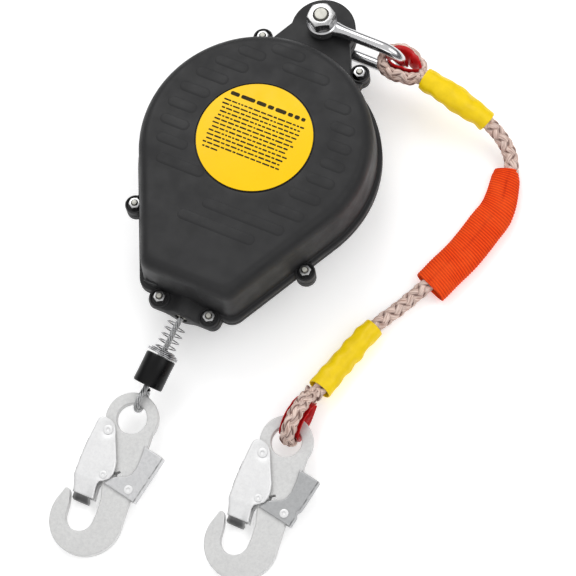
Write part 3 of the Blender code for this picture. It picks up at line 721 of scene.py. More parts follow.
# The liner's cross-section: places across the rope, and rises towards it that make the lips.
LINER_SHAPE = [
    (-6.7, 2.4), (-6.2, 1.1), (-4.6, 0.3), (0, 0.1), (4.6, 0.3), (6.2, 1.1), (6.7, 2.4),
    (7.3, 2.2), (6.9, 0.6), (5.0, -0.6), (0, -0.8), (-5.0, -0.6), (-6.9, 0.6), (-7.3, 2.2)]


def thimble(name, radius, throat, spot, node, wide):
    """A moulded liner: a band round the inside of an eye with lips that hold the rope."""
    inner = radius - EYE_HALF_T - 0.9
    line = [(throat, 1.0)] + [(throat * 0.66, inner * 0.66)] + arc(inner, 21, (0, 0), 52, 308)
    line += [(throat * 0.66, -inner * 0.66), (throat, -1.0)]
    line = smooth_path([Vector((x, y, 0)) for x, y in line], 3)
    rows = []
    for i, point in enumerate(line):
        ahead = (line[min(i + 1, len(line) - 1)] - line[max(i - 1, 0)]).normalized()
        out = Vector((ahead.y, -ahead.x, 0))
        if out.dot(point - Vector((throat * 0.3, 0, 0))) < 0:
            out = -out
        lip = 1.0 if 3 < i < len(line) - 4 else 0.45
        rows.append([spot(point.x + out.x * rise * lip, point.y + out.y * rise * lip, across * wide)
                     for across, rise in LINER_SHAPE])
    return finish_piece(loft(name, rows, sharp_deg=50), "sling", THIMBLE, node)


thimble("upper_thimble_liner", UPPER_EYE_R, 17.5, upper, "upper_thimble", 1.0)
thimble("lower_thimble_liner", LOWER_EYE_R, 20.5, lower, "lower_thimble", 1.08)


def part_of_route(first, last):
    """The stretch of the sling between two of its listed points, given as fractional numbers."""
    return route[int(round(first * 8)):int(round(last * 8)) + 1]


SLEEVE_HALF_HEIGHT = 7.9


def shrink_sleeve(name, first, last, half_width, lumps, node):
    """Heat-shrunk tube that shows the strands under it; half_width follows the share of its length."""
    line, travel = even_path(part_of_route(first, last), 0.9)
    total = travel[-1]
    end = len(line) - 1

    def section(i, angle):
        share = travel[i] / total
        ripple = 0.45 * sin(travel[i] * 2 * pi / 13.5 + 2 * angle + lumps)
        ripple += 1.5 * noise.noise(Vector((travel[i] * 0.10, cos(angle) * 1.1 + lumps, sin(angle) * 1.1)))
        ripple *= min(1.0, 6 * share, 6 * (1 - share)) * 0.9
        across = half_width(share) * cos(angle) + ripple * cos(angle)
        rise = (SLEEVE_HALF_HEIGHT + 0.6 * ripple) * sin(angle)
        return across, max(rise, -SLEEVE_HALF_HEIGHT)

    outer = [[section(i, angle) for angle in round_angles(36)] for i in range(end + 1)]
    stations = frames_along(line, Vector((0, 0, 1)))

    def ring_at(i, shrink):
        point, _, side, above = stations[i]
        return [point + side * a * shrink + above * b * shrink for a, b in outer[i]]

    rows = [ring_at(4, 0.86), ring_at(1, 0.87), ring_at(0, 0.9), ring_at(0, 0.97)]
    rows += [ring_at(i, 1.0) for i in range(1, end)]
    rows += [ring_at(end, 0.97), ring_at(end, 0.9), ring_at(end - 1, 0.87), ring_at(end - 4, 0.86)]
    return finish_piece(loft(name, rows, caps=False, sharp_deg=60), "sling", SHRINK, node)


shrink_sleeve("upper_shrink_sleeve", 0.45, 4.1, lambda share: 8.4 + 1.7 * sin(pi * min(1, 0.1 + share)), 0.3,
              "upper_sleeve")
shrink_sleeve("lower_shrink_sleeve", 15, 17.5, lambda share: 8.0 + 1.7 * share, 2.1, "lower_sleeve")

WEB_RIB_PITCH = 2.1
WEB_RIB_RISE = 0.42
WEB_CREASE_DEPTH = 0.35


def webbing_sleeve():
    """Flattened tube of ribbed webbing slid over the rope, a little off its centre at each end."""
    line, travel = even_path(part_of_route(7, 13), 0.35)
    stations = frames_along(line, Vector((0, 0, 1)))
    total, sides, end = travel[-1], 64, len(line) - 1
    groove_shades = []

    def ring_at(i, inset, shift=0.0):
        point, along, side, above = stations[i]
        share = travel[i] / total
        half_w = 8.6 + 1.6 * min(1, share * 14) + 3.9 * min(1, share * 2.6) - inset
        half_h = 6.5 + 0.3 * sin(share * 9) - inset
        offset = 4.2 * (1 - min(1, share * 3)) - 3.0 * max(0, share * 1.8 - 0.8)
        row = []
        for a in round_angles(sides):
            c, s = cos(a), sin(a)
            across = half_w * copysign(abs(c) ** 0.82, c)
            rise = half_h * copysign(abs(s) ** 0.75, s)
            crease = exp(-((across + 2.5 - 5 * share) / 0.75) ** 2) if s > 0 else 0.0
            crease *= min(1.0, 0.25 + 1.6 * abs(noise.noise(Vector((travel[i] * 0.35, 7.0, 0.0)))))
            phase = 2 * pi * (travel[i] + 0.10 * across) / WEB_RIB_PITCH
            rib = 0.5 + 0.5 * cos(phase)
            swell = (WEB_RIB_RISE * rib - WEB_CREASE_DEPTH * crease) if not inset else 0.0
            sag = 0.35 * noise.noise(Vector((travel[i] * 0.06, c, s)))
            row.append(point + side * (across + offset + swell * c) + above * (rise + (swell + sag) * s)
                       + along * shift)
            # Painted shade, deepest between the ribs and in the crease.
            groove_shades.append(min(1.0, (1 - rib) ** 1.5 * 0.9 + 0.75 * crease))
        return row

    rows = [ring_at(8, 1.5), ring_at(0, 1.3), ring_at(0, 0.7, -0.25)]
    rows += [ring_at(i, 0) for i in range(end + 1)]
    rows += [ring_at(end, 0.7, 0.25), ring_at(end, 1.3), ring_at(end - 8, 1.5)]
    points = [p for row in rows for p in row]
    faces = []
    for r in range(len(rows) - 1):
        for k in range(sides):
            m = (k + 1) % sides
            faces.append((r * sides + k, (r + 1) * sides + k, (r + 1) * sides + m, r * sides + m))
    obj = mesh_object("webbing_protector", points, faces, 75)
    mark(obj, "groove_shade", groove_shades)
    return finish_piece(obj, "sling", WEBBING, "webbing_sleeve")


webbing_sleeve()
route_m = [p * MM for p in route]
sling_length = sum((b - a).length for a, b in zip(route_m, route_m[1:]))
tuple(route_m[0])

# ---- lifeline: cable, spring, bumper and the loop over the hook --------------------------------------
along = (BUMPER_END - BUMPER_TOP).normalized()
bumper_place = Matrix.Translation(BUMPER_TOP) @ along.to_track_quat("Z", "X").to_matrix().to_4x4()
LAID_R = 2.15            # radius over the strands, which sit a little inside the CAD's round cable
LAID_STRAND_R = LAID_R * 0.36
LAY_LENGTH = 24.0        # length of one full turn of a strand
LAID_STRANDS = 6


def wire_rope(name, path):
    """Laid steel cable: strands twisted round a core, as one mesh."""
    line, travel = even_path(path, 0.8)
    stations = frames_along(line)
    rope_strands, crevice_shade = [], []
    for strand in range(LAID_STRANDS + 1):
        core = strand == LAID_STRANDS
        size = LAID_R * 0.5 if core else LAID_STRAND_R
        rings = []
        for (point, _, side, above), s in zip(stations, travel):
            angle = 2 * pi * (s / LAY_LENGTH + strand / LAID_STRANDS)
            out = side * cos(angle) + above * sin(angle)
            centre = point if core else point + out * (LAID_R - LAID_STRAND_R)
            ring = []
            for round_angle in round_angles(10):
                a = round_angle + angle
                ring.append(centre + (side * cos(a) + above * sin(a)) * size)
                # Painted shade: the core is dark and each strand darkens on its side that faces the core.
                crevice_shade.append(1.0 if core else min(1.0, max(0.0, 0.55 - cos(round_angle)) * 1.2))
            rings.append(ring)
        rope_strands.append(rings)
    return bundle(name, rope_strands, crevice_shade)


cable_route = smooth_path([
    (0, -138.6, MID), (-0.9, -141.6, 41.2), (-1.75, -146, 39.0), (-2.65, -157.5, 35.8),
    BUMPER_TOP + along * 5.5], 6)
cable_line = wire_rope("line_cable_strands", cable_route)
cable_line.data.materials.append(CABLE)
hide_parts("line_cable")
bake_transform(cable_line)

loop_route = smooth_path([
    BUMPER_TOP + along * 16, (-5.3, -195.5, 26.6), (-5.6, -201.5, 27.8), (-5.9, -207.5, 26.3),
    (-6, -210.2, 20.2), (-6, -207.8, 12.3), (-6, -202, 9.2), (-5.8, -195.6, 12.0), (-5.5, -192.6, 18.0)], 8)
cable_eye = finish_piece(wire_rope("cable_eye_strands", loop_route), "line", CABLE, "cable_loop")

BUMPER_PROFILE = [
    (CABLE_R + 0.6, 0.6), (CABLE_R + 1.2, 0), (10.2, 0), (11.2, 0.3), (11.6, 1.2), (11.45, 12), (11.6, 22.6),
    (11.2, 23.7), (10.0, 24), (5.4, 24), (4.6, 23.4), (CABLE_R + 0.6, 20)]
bumper = finish_piece(lathe("rubber_bumper", BUMPER_PROFILE, bumper_place, 64), "line", RUBBER, "line_bumper")


SPRING_WIRE_R = 0.5
OPEN_TURNS, CLOSE_TURNS = 4.4, 3.6
OPEN_COIL_R = 7.7


def conical_spring():
    """Round wire: open coils towards the housing and a few close wide ones on the bumper."""
    steps = 36
    line = []
    for i in range(int((OPEN_TURNS + CLOSE_TURNS) * steps) + 1):
        t = i / steps
        if t < OPEN_TURNS:
            radius, height = OPEN_COIL_R, -27.0 + 21.8 * t / OPEN_TURNS
        else:
            share = (t - OPEN_TURNS) / CLOSE_TURNS
            radius, height = OPEN_COIL_R + 4.2 * min(1, share * 1.9), -5.2 + 4.4 * share
        line.append(bumper_place @ Vector((*polar(radius, 2 * pi * t), height)))
    return tube("recoil_spring_wire", line, lambda i, angle: polar(SPRING_WIRE_R, angle), 10)


SPRING_WIRE = polished("spring_wire", (0.42, 0.42, 0.43, 1), 0.16)
spring = finish_piece(conical_spring(), "line", SPRING_WIRE, "recoil_spring")
cable_m = [p * MM for p in cable_route]
cable_length = sum((b - a).length for a, b in zip(cable_m, cable_m[1:]))
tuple(cable_m[0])


# ---- covers -----------------------------------------------------------------------------------------
def body_outline(inset, corner=7.0):
    """Round body with straight flanks tangent to it, down to a narrower flat bottom with round corners."""
    radius, bottom_y = RIM_R - inset, BOTTOM_Y + inset
    half_w = BOTTOM_HALF_W - 0.615 * inset
    reach = hypot(half_w, bottom_y)
    tangent = degrees(atan2(half_w, -bottom_y)) + degrees(acos(radius / reach))
    outline = arc(radius, 97, (0, 0), -90 + tangent, 270 - tangent)
    lean = radians(tangent)
    left = Vector((-half_w - corner * cos(lean), bottom_y + corner * sin(lean)))
    start = Vector(outline[-1])
    outline += [tuple(start.lerp(left, k / 6)) for k in range(1, 6)]
    tip, foot = Vector((-half_w, bottom_y)), Vector((-half_w + corner, bottom_y))
    bend = [left.lerp(tip, k / 7).lerp(tip.lerp(foot, k / 7), k / 7) for k in range(8)]
    outline += [tuple(p) for p in bend]
    outline += [(x * foot.x, bottom_y) for x in (0.66, 0.33, 0, -0.33, -0.66)]
    outline += [(-p.x, p.y) for p in reversed(bend)]
    outline += [(-x, y) for x, y in [tuple(start.lerp(left, k / 6)) for k in range(5, 0, -1)]]
    return outline


FRONT_FACE_Z = 85.35
# Each wall is (height from the parting plane, how far it stands in from the rim), from the rim to the face.
RIM = [(0.15, 1.0), (0.2, 0.5), (0.6, 0.12), (1.2, 0), (3.0, 0), (3.8, 0.25), (4.2, 0.8), (4.3, 1.6)]
FRONT_WALL = RIM + [(4.3, 2.3), (4.6, 2.8), (5.4, 3.1), (7, 3.25), (20, 3.9), (31.5, 4.6)]
REAR_WALL = RIM + [(4.3, 2.6), (4.8, 3.4), (8, 4.4), (15, 6.2), (27, 10.6), (35, 13.8)]
for step in range(1, 11):
    bend = radians(9 * step)
    FRONT_WALL.append((31.5 + 10.85 * sin(bend), 13.6 - 9.0 * cos(bend)))
for step in range(1, 9):
    bend = radians(11.25 * step)
    REAR_WALL.append((35 + 7.8 * sin(bend), 22.4 - 8.6 * cos(bend)))


def cover_skin(name, wall, sign, seat_r, seat_depth):
    """Outside of a moulded cover from its rim to its face, the round seat in the face, and the inside."""
    rows = [[(x, y, MID + sign * rise) for x, y in body_outline(inset)] for rise, inset in wall]
    face_rise, face_inset = wall[-1]
    edge = body_outline(face_inset)

    def toward_seat(share, radius, rise):
        row = []
        for x, y in edge:
            goal = polar(radius, atan2(y, x))
            row.append((x + (goal[0] - x) * share, y + (goal[1] - y) * share, MID + sign * rise))
        return row

    for share in (0.04, 0.3, 0.65, 0.97):
        rows.append(toward_seat(share, seat_r, face_rise))
    rows.append(toward_seat(1, seat_r, face_rise - 0.06))
    rows.append(toward_seat(1, seat_r - 0.12, face_rise - seat_depth + 0.1))
    for radius in (seat_r - 0.3, seat_r * 0.5, 1.0):
        rows.append(toward_seat(1, radius, face_rise - seat_depth))
    inner = [(face_rise - 3.2, 22.0), (face_rise - 3.6, 17.5), (face_rise - 7, 13.0 if sign < 0 else 9.5),
             (20, 12.0 if sign < 0 else 7.2), (5, 7.6 if sign < 0 else 6.6), (0.15, 6.4)]
    rows.append([(x * 0.02, y * 0.02, MID + sign * (face_rise - 3.2)) for x, y in edge])
    rows += [[(x, y, MID + sign * rise) for x, y in body_outline(inset)] for rise, inset in inner]
    rows.append(rows[0])
    return loft(name, rows, caps=False, sharp_deg=28)


def pill(name, x0, x1, y, half_h, z, rise, sign=1):
    """Raised or low rib with round ends and soft shoulders."""
    rows = []
    for inset, lift in ((-0.5, -0.5), (0, 0.0), (0.6, 0.4), (1.3, 0.85), (2.2, 1.0)):
        r = half_h - inset
        ring = arc(r, 13, (x1, y), -90, 90) + arc(r, 13, (x0, y), 90, 270)
        rows.append([(px, py, z + sign * rise * lift) for px, py in ring])
    return loft(name, rows, sharp_deg=40)


def lug(name, x, y, sign):
    """Screw lug on the rim: a round boss with a collar about the nut, and the neck that joins it on."""
    profile = [
        (BOLT_HOLE_R, SEAM_GAP), (LUG_R - 0.4, SEAM_GAP), (LUG_R, 0.6), (LUG_R, 5.6), (LUG_R - 0.5, 6.2),
        (LUG_R - 1.0, 6.2), (LUG_R - 1.35, 5.8), (LUG_R - 1.45, 4.6), (LUG_R - 1.9, LUG_NECK_DEPTH),
        (BOLT_HOLE_R, LUG_NECK_DEPTH)]
    boss = lathe(name, [(r, MID + sign * h) for r, h in profile], moved(x, y), 40)
    reach, turn = hypot(x, y), atan2(y, x)
    neck = [(reach - 12, -LUG_R - 2.2), (reach - 6.5, -LUG_R - 0.2), (reach - 2.5, -LUG_R + 0.9)]
    neck += [(reach - 2.5, LUG_R - 0.9), (reach - 6.5, LUG_R + 0.2), (reach - 12, LUG_R + 2.2)]
    neck = [tuple(p) for p in smooth_path([Vector((a, b, 0)) for a, b in neck], 1)]
    low, high = sorted((MID + sign * SEAM_GAP, MID + sign * LUG_NECK_DEPTH))
    web = plate(name + "_neck", [(a, b) for a, b, _ in neck], low, high, edge=0.7,
                place=Matrix.Rotation(turn, 4, "Z"))
    return joined(name, [boss, web])


TAB_DEPTH = 4.4
TAB_CORNER_R = 6
TAB_ROOT_Y, TAB_FLAT_Y = -118, -126
HUMP_RISE = 6.3
HUMP_HALF_W = 14.5
MOUTH_R = 5.0


def exit_tab(name, sign):
    """Bottom tab whose middle swells over the cable's nozzle."""
    def height(x):
        hump = cos(pi * x / (2 * HUMP_HALF_W)) ** 2 if abs(x) < HUMP_HALF_W else 0.0
        return TAB_DEPTH + HUMP_RISE * hump

    def front_y(x):
        over = min(max(0.0, abs(x) - (TAB_HALF_W - TAB_CORNER_R)), TAB_CORNER_R)
        return TAB_Y + TAB_CORNER_R - sqrt(max(0.0, TAB_CORNER_R ** 2 - over ** 2))

    xs = [TAB_HALF_W * sin(pi / 2 * k / 30) for k in range(-30, 31)]
    rows = [[(x, TAB_ROOT_Y, MID + sign * SEAM_GAP) for x in xs]]
    rows += [[(x, y, MID + sign * height(x)) for x in xs] for y in (TAB_ROOT_Y, TAB_FLAT_Y)]
    for inset, drop in ((2.2, 0), (1.1, 0.2), (0.35, 0.75), (0.0, 1.7)):
        rows.append([(x, front_y(x) + inset, MID + sign * (height(x) - drop)) for x in xs])
    rows.append([(x, front_y(x), MID + sign * SEAM_GAP) for x in xs])
    rows.append(rows[0])
    count = len(xs)
    faces = grid_faces(rows)
    faces += [tuple(r * count for r in range(len(rows) - 1)),
              tuple(r * count + count - 1 for r in reversed(range(len(rows) - 1)))]
    tab = outward(mesh_object(name, [p for row in rows for p in row], faces, 40))
    mouth = lathe(name + "_mouth", [(0, -150), (MOUTH_R, -150), (MOUTH_R, -130), (0, -130)],
                  moved(0, 0, MID) @ turned(-90, "X"), 32)
    hole = [(0, MID - 20), (BOLT_HOLE_R, MID - 20), (BOLT_HOLE_R, MID + 20), (0, MID + 20)]
    holes = [lathe(name + "_hole", hole, moved(x, y), 24) for x, y in LUGS[4:]]
    return cut(tab, [mouth] + holes)


def ear(name, sign):
    """Half of the hanging eye: a flat tongue with round shoulders."""
    outline = arc(EAR_R, 33, (0, EAR_Y), -10, 190) + [(-44, 72), (44, 72)]
    low, high = sorted((MID + sign * SEAM_GAP, MID + sign * EAR_HALF_T))
    return plate(name, outline, low, high, [arc(6.5, 32, (0, EAR_Y))], 1.3)


# Raised bars on the flat of the front: left end, right end and height on the face.
FACE_RIBS = [
    (-43, -20, 63), (-56, -28, 49), (-65, -38, 34.5), (-71, -46, 19), (-74, -50, 4), (-73, -49, -11),
    (-69, -43, -26), (-62, -22, -41.5), (-20, 8, 73.5), (-6, 33, 62.5), (36, 58, 46.5), (48, 68, 31.5),
    (52, 72, 16.5), (53, 73.5, 1.5), (49, 72, -13.5), (42, 68, -29.5), (33, 62, -46), (-14, 53, -61.5),
    (-27, 36, -76.5)]
RIB_HALF_H = 4.4
RIB_RISE = 0.42
SPOKE_MIDDLE_R = 44
TAB_COLLAR = [(6.0, 4.2), (8.0, 4.2), (7.6, 5.6), (7.2, 5.9), (6.7, 5.6), (6.4, 4.3)]


def rectangle(half_w, half_h):
    return [(-half_w, -half_h), (half_w, -half_h), (half_w, half_h), (-half_w, half_h)]


def front_cover():
    parts = [cover_skin("housing_front", FRONT_WALL, 1, LABEL_R + 1.3, 1.0)]
    for i, (x0, x1, y) in enumerate(FACE_RIBS):
        parts.append(pill(f"face_rib_{i}", x0 + RIB_HALF_H, x1 - RIB_HALF_H, y, RIB_HALF_H, FRONT_FACE_Z,
                          RIB_RISE))
    parts += [lug(f"front_lug_{i}", x, y, 1) for i, (x, y) in enumerate(LUGS[:4])]
    for i, (x, y) in enumerate(LUGS[4:]):
        parts.append(lathe(f"front_tab_collar_{i}", [(r, MID + z) for r, z in TAB_COLLAR], moved(x, y), 40))
    parts += [exit_tab("front_tab", 1), ear("front_ear", 1)]
    bar = plate("corner_bar", rectangle(5.5, 0.9), -0.6, 0.6, edge=0.35,
                place=moved(-30, -125.8, 56) @ turned(90, "X"))
    parts.append(bar)
    return finish_piece(joined("housing_front_shell", parts), "housing", PLASTIC, "front_cover")


def rear_cover():
    parts = [cover_skin("housing_rear", REAR_WALL, -1, 30.0, 0.8)]
    parts += [lug(f"rear_lug_{i}", x, y, -1) for i, (x, y) in enumerate(LUGS[:4])]
    parts += [exit_tab("rear_tab", -1), ear("rear_ear", -1)]
    for i, y in enumerate((-46, -60, -74)):
        parts.append(pill(f"rear_rib_{i}", -28 + 3 * i, 28 - 3 * i, y, 3.6, 0.35, 0.3, -1))
    for i in range(12):
        spin = turned(30 * i + 15, "Z") @ moved(SPOKE_MIDDLE_R, 0)
        parts.append(plate(f"rear_spoke_{i}", rectangle(6, 1.3), 0.05, 1.2, edge=0.4, place=spin))
    return finish_piece(joined("housing_rear_shell", parts), "housing", PLASTIC, "rear_cover")


front_cover()
rear_cover()
SEAM_PROFILE = [(-0.6, 1.3), (0.6, 1.3), (0.6, 5.5), (-0.6, 5.5), (-0.6, 1.3)]
seam_rows = [[(x, y, MID + z) for x, y in body_outline(inset)] for z, inset in SEAM_PROFILE]
finish_piece(loft("housing_seam_gasket", seam_rows, caps=False), "housing", PLASTIC_DARK)

# ---- label: a plain disc with bars where the real one is printed ---------------------------------------
label_top = heights("label_plate")[1]
LABEL_PROFILE = [
    (0.01, label_top - 0.6), (LABEL_R - 0.2, label_top - 0.6), (LABEL_R - 0.05, label_top - 0.4),
    (LABEL_R - 0.1, label_top - 0.08), (LABEL_R - 0.5, label_top), (0.01, label_top)]
finish_piece(lathe("label_disc", LABEL_PROFILE, None, 120), "housing", LABEL_YELLOW, "label_plate")
pick = random.Random(11)


def printed_bars():
    """One heading and thirteen lines of word-long dashes, none of them letters."""
    points, faces = [], []

    def dash(x0, x1, y, half):
        base, nip = len(points), half * 0.6
        outline = [(x0, y - nip), (x0 + nip, y - half), (x1 - nip, y - half), (x1, y - nip),
                   (x1, y + nip), (x1 - nip, y + half), (x0 + nip, y + half), (x0, y + nip)]
        for z in (label_top - 0.05, label_top + 0.05):
            points.extend([(*spot, z) for spot in outline])
        faces.append(tuple(reversed(range(base, base + 8))))
        faces.append(tuple(range(base + 8, base + 16)))
        for k in range(8):
            m = (k + 1) % 8
            faces.append((base + k, base + m, base + 8 + m, base + 8 + k))

    def line(x0, x1, y, half, shortest, longest, gap):
        x = x0
        while x < x1 - shortest:
            reach = min(x1, x + pick.uniform(shortest, longest))
            dash(x, reach, y, half * pick.uniform(0.85, 1.0))
            x = reach + gap

    line(-32, 29.5, 26.8, 1.7, 3.2, 12.0, 1.5)
    for row in range(13):
        y = 20.4 - 3.42 * row
        limit = sqrt((LABEL_R - 3) ** 2 - y * y)
        indent = 1.2 if row in (0, 1, 5, 6, 8, 9, 11) else 0.0
        long_end = 33.5 if row not in (7, 12) else (30.0 if row == 7 else -14.0)
        line_end = min(long_end - 0.35 * row + pick.uniform(-3, 0), limit)
        line(max(-33.5 - indent, -limit), line_end, y, 0.7, 1.6, 6.0, 0.75)
    return mesh_object("label_print_bars", points, faces, 30)


finish_piece(printed_bars(), "housing", PRINT)


# ---- bolts and nuts -----------------------------------------------------------------------------------
def hex_nut(name, flats, bore, low, high, place=None):
    """A hexagon nut with its corners turned off to a cone."""
    face_r = flats / 2 * 0.985

    def face_rings(z, sign):
        rings = [[], [], [], []]
        for a in round_angles(72):
            edge = flats / 2 / cos((a + pi / 6) % (pi / 3) - pi / 6)
            profile = [(bore, z - sign * 0.35), (bore + 0.35, z), (face_r, z),
                       (edge, z - sign * max(0.0, edge - face_r) * 0.45)]
            for ring, (radius, height) in zip(rings, profile):
                ring.append((*polar(radius, a), height))
        return rings

    rows = face_rings(high, 1) + face_rings(low, -1)[::-1]
    return loft(name, rows + rows[:1], caps=False, place=place, sharp_deg=25)


def threaded_end(name, radius, pitch, low, high, place=None):
    """Round bar with a helical thread and a chamfered end."""
    sides, per_pitch = 24, 6

    def ring(r, z):
        return [(*polar(r, a), z) for a in round_angles(sides)]

    rows = [ring(radius * 0.3, low)]
    count = int((high - low - 0.8 * pitch) / pitch * per_pitch)
    for i in range(count + 1):
        z = low + i * pitch / per_pitch
        row = []
        for k, a in enumerate(round_angles(sides)):
            phase = (z / pitch - k / sides) % 1.0
            row.append((*polar(radius - 0.55 * pitch * abs(2 * phase - 1), a), z))
        rows.append(row)
    rows += [ring(radius * 0.86, high - 0.3 * pitch), ring(radius * 0.74, high - 0.35),
             ring(radius * 0.3, high - 0.4)]
    return loft(name, rows, place=place, sharp_deg=50)


COVER_NUT_FLATS, COVER_NUT_BORE = 8.0, 2.45
COVER_THREAD_R, COVER_THREAD_PITCH = 2.42, 0.8
BOLT_TIP_PROFILE = [(0.02, -0.6), (1.85, -0.6), (1.8, -0.1), (1.4, 0), (0.02, 0)]
BOLT_HEAD_PROFILE = [
    (0.02, 1.2), (1.3, 1.2), (1.35, 0.35), (2.6, 0), (3.6, 0.5), (4.2, 1.8), (4.3, 3.0), (0.02, 3.0)]


def lifted(profile, z):
    """A lathe profile moved along its axis."""
    return [(radius, z + height) for radius, height in profile]


for index, (x, y) in enumerate(LUGS, 1):
    bolt_name, nut_name = f"cover_bolt_{index}", f"cover_nut_{index}"
    nut_low, nut_high = heights(nut_name)
    bolt_low, bolt_high = heights(bolt_name)
    there = moved(x, y)
    nut = hex_nut(nut_name + "_chamfered", COVER_NUT_FLATS, COVER_NUT_BORE, nut_low, nut_high, there)
    finish_piece(nut, "housing", NUT_ZINC, nut_name)
    rod = threaded_end(bolt_name + "_rod", COVER_THREAD_R, COVER_THREAD_PITCH, nut_low - 2, bolt_high, there)
    cap = lathe(bolt_name + "_tip", lifted(BOLT_TIP_PROFILE, bolt_high), there, 20)
    head = lathe(bolt_name + "_head", lifted(BOLT_HEAD_PROFILE, bolt_low), there, 32)
    finish_piece(rod, "housing", THREAD, bolt_name)
    finish_piece(cap, "housing", BOLT_END)
    finish_piece(head, "housing", CHROME)

# ---- shackle ------------------------------------------------------------------------------------------
SHACKLE_FLATS = 19.0
SHACKLE_THREAD_R, SHACKLE_THREAD_PITCH = 5.9, 1.75
BOLT_HEAD_HEIGHT = 7.4
SHACKLE_TIP_PROFILE = [(0.02, -0.6), (4.75, -0.6), (4.6, -0.05), (3.9, 0), (0.02, 0)]
EYE_HALF = BOW_R + 0.25
BOW_EYE_PROFILE = [
    (6.4, -EYE_HALF + 0.5), (6.9, -EYE_HALF), (10.6, -EYE_HALF), (11.6, -EYE_HALF + 0.7), (11.95, -2),
    (11.95, 2), (11.6, EYE_HALF - 0.7), (10.6, EYE_HALF), (6.9, EYE_HALF), (6.4, EYE_HALF - 0.5)]
bolt_place = moved(0, EAR_Y)
bow_place = bolt_place @ turned(BOW_TURN_DEG, "Z")
bend_at = BOW_REACH - BOW_HALF_GAP
bow_line = [(4 + (bend_at - 4) * k / 14, 0, MID + BOW_HALF_GAP) for k in range(14)]
bow_line += [(x, 0, z) for x, z in arc(BOW_HALF_GAP, 25, (bend_at, MID), 90, -90)]
bow_line += [(bend_at - (bend_at - 4) * k / 14, 0, MID - BOW_HALF_GAP) for k in range(1, 15)]
bow_line = [bow_place @ Vector(p) for p in bow_line]


def bow_section(i, angle):
    """Round bar, flattened where it runs into the eyes."""
    near = max(0.0, 1 - min(i, len(bow_line) - 1 - i) / 5)
    return (BOW_R + 3.2 * near ** 1.5) * cos(angle), (BOW_R - 0.2 * near) * sin(angle)


bow_parts = [tube("bow_bar", bow_line, bow_section, 28)]
for end_name, z in (("high", MID + BOW_HALF_GAP), ("low", MID - BOW_HALF_GAP)):
    bow_parts.append(lathe(f"bow_eye_{end_name}", lifted(BOW_EYE_PROFILE, z), bow_place, 56))
finish_piece(joined("shackle_bow_forged", bow_parts), "shackle", CHROME, "shackle_bow")
nut = hex_nut("shackle_nut_chamfered", SHACKLE_FLATS, 5.95, *heights("shackle_nut"), bolt_place)
finish_piece(nut, "shackle", NUT_ZINC, "shackle_nut")
bolt_foot, bolt_top = heights("shackle_bolt")
rod = threaded_end("shackle_bolt_rod", SHACKLE_THREAD_R, SHACKLE_THREAD_PITCH, MID + 10, bolt_top, bolt_place)
shank_profile = [(0.02, bolt_foot + 6), (5.9, bolt_foot + 6), (5.9, MID + 11), (0.02, MID + 11)]
shank = lathe("shackle_bolt_shank", shank_profile, bolt_place, 40)
head_top = bolt_foot + BOLT_HEAD_HEIGHT
bolt_head = hex_nut("shackle_bolt_head", SHACKLE_FLATS, 0.3, bolt_foot, head_top, bolt_place)
finish_piece(joined("shackle_bolt_threaded", [rod, shank]), "shackle", THREAD, "shackle_bolt")
finish_piece(bolt_head, "shackle", CHROME)
bolt_tip = lathe("shackle_bolt_tip", lifted(SHACKLE_TIP_PROFILE, bolt_top), bolt_place, 40)
finish_piece(bolt_tip, "shackle", BOLT_END)


# ---- hooks --------------------------------------------------------------------------------------------
PLATE_Z = (4.8, 12.0)
HOOK_EYE_R, HOOK_HOLE_R = 20.0, 11.5
HOOK_BOW_R, HOOK_BOW_AT = 27.5, (0.0, -82.0)
HOOK_THROAT_R, HOOK_THROAT_AT = 10.5, (-5.0, -82.0)
GATE_LOW, GATE_HIGH = 1.2, 15.6
LEVER_LOW, LEVER_HIGH = 3.0, 13.8
GATE_PIVOT = (-12.0, -15.0)
GATE_PIN = (-1.0, -47.0)
LEVER_PIVOT = (21.0, -50.0)


def hook_outline():
    """Eye, shank, round throat, nose, bow and back of the stamped hook, about the eye's centre."""
    eye = arc(HOOK_EYE_R, 33, (0, 0), -15, 205)
    shank_left = [(-19, -18), (-11, -31), (-5, -42), (0, -53), (4, -64), (5.5, -75)]
    throat = arc(HOOK_THROAT_R, 25, HOOK_THROAT_AT, 0, -180)
    nose = [(-16.6, -76), (-18.6, -70), (-20.0, -67.2), (-21.3, -65.8), (-22.8, -65.3), (-24.4, -66.2)]
    bow_edge = arc(HOOK_BOW_R, 41, HOOK_BOW_AT, 160, 363)
    back_edge = [(26.4, -72), (25.5, -64), (24, -52), (22, -34), (20.5, -18)]
    return eye + shank_left + throat + nose + bow_edge + back_edge


SLOT_HALF_W = 2.7
SLOT_BACK_DEG, SLOT_AHEAD_DEG = 5, 23


def pin_slot():
    """The curved slot that the gate's pin runs in, about the gate's pivot."""
    dx, dy = GATE_PIN[0] - GATE_PIVOT[0], GATE_PIN[1] - GATE_PIVOT[1]
    radius, rest = hypot(dx, dy), degrees(atan2(dy, dx))
    back, ahead = rest - SLOT_BACK_DEG, rest + SLOT_AHEAD_DEG
    return (arc(radius + SLOT_HALF_W, 14, GATE_PIVOT, back, ahead)
            + arc(radius - SLOT_HALF_W, 14, GATE_PIVOT, ahead, back))


def between(table, value):
    """Straight-line value of a short table of (place, value)."""
    table = sorted(table)
    if value <= table[0][0]:
        return table[0][1]
    for (a, va), (b, vb) in zip(table, table[1:]):
        if value <= b:
            return va + (vb - va) * (value - a) / (b - a)
    return table[-1][1]


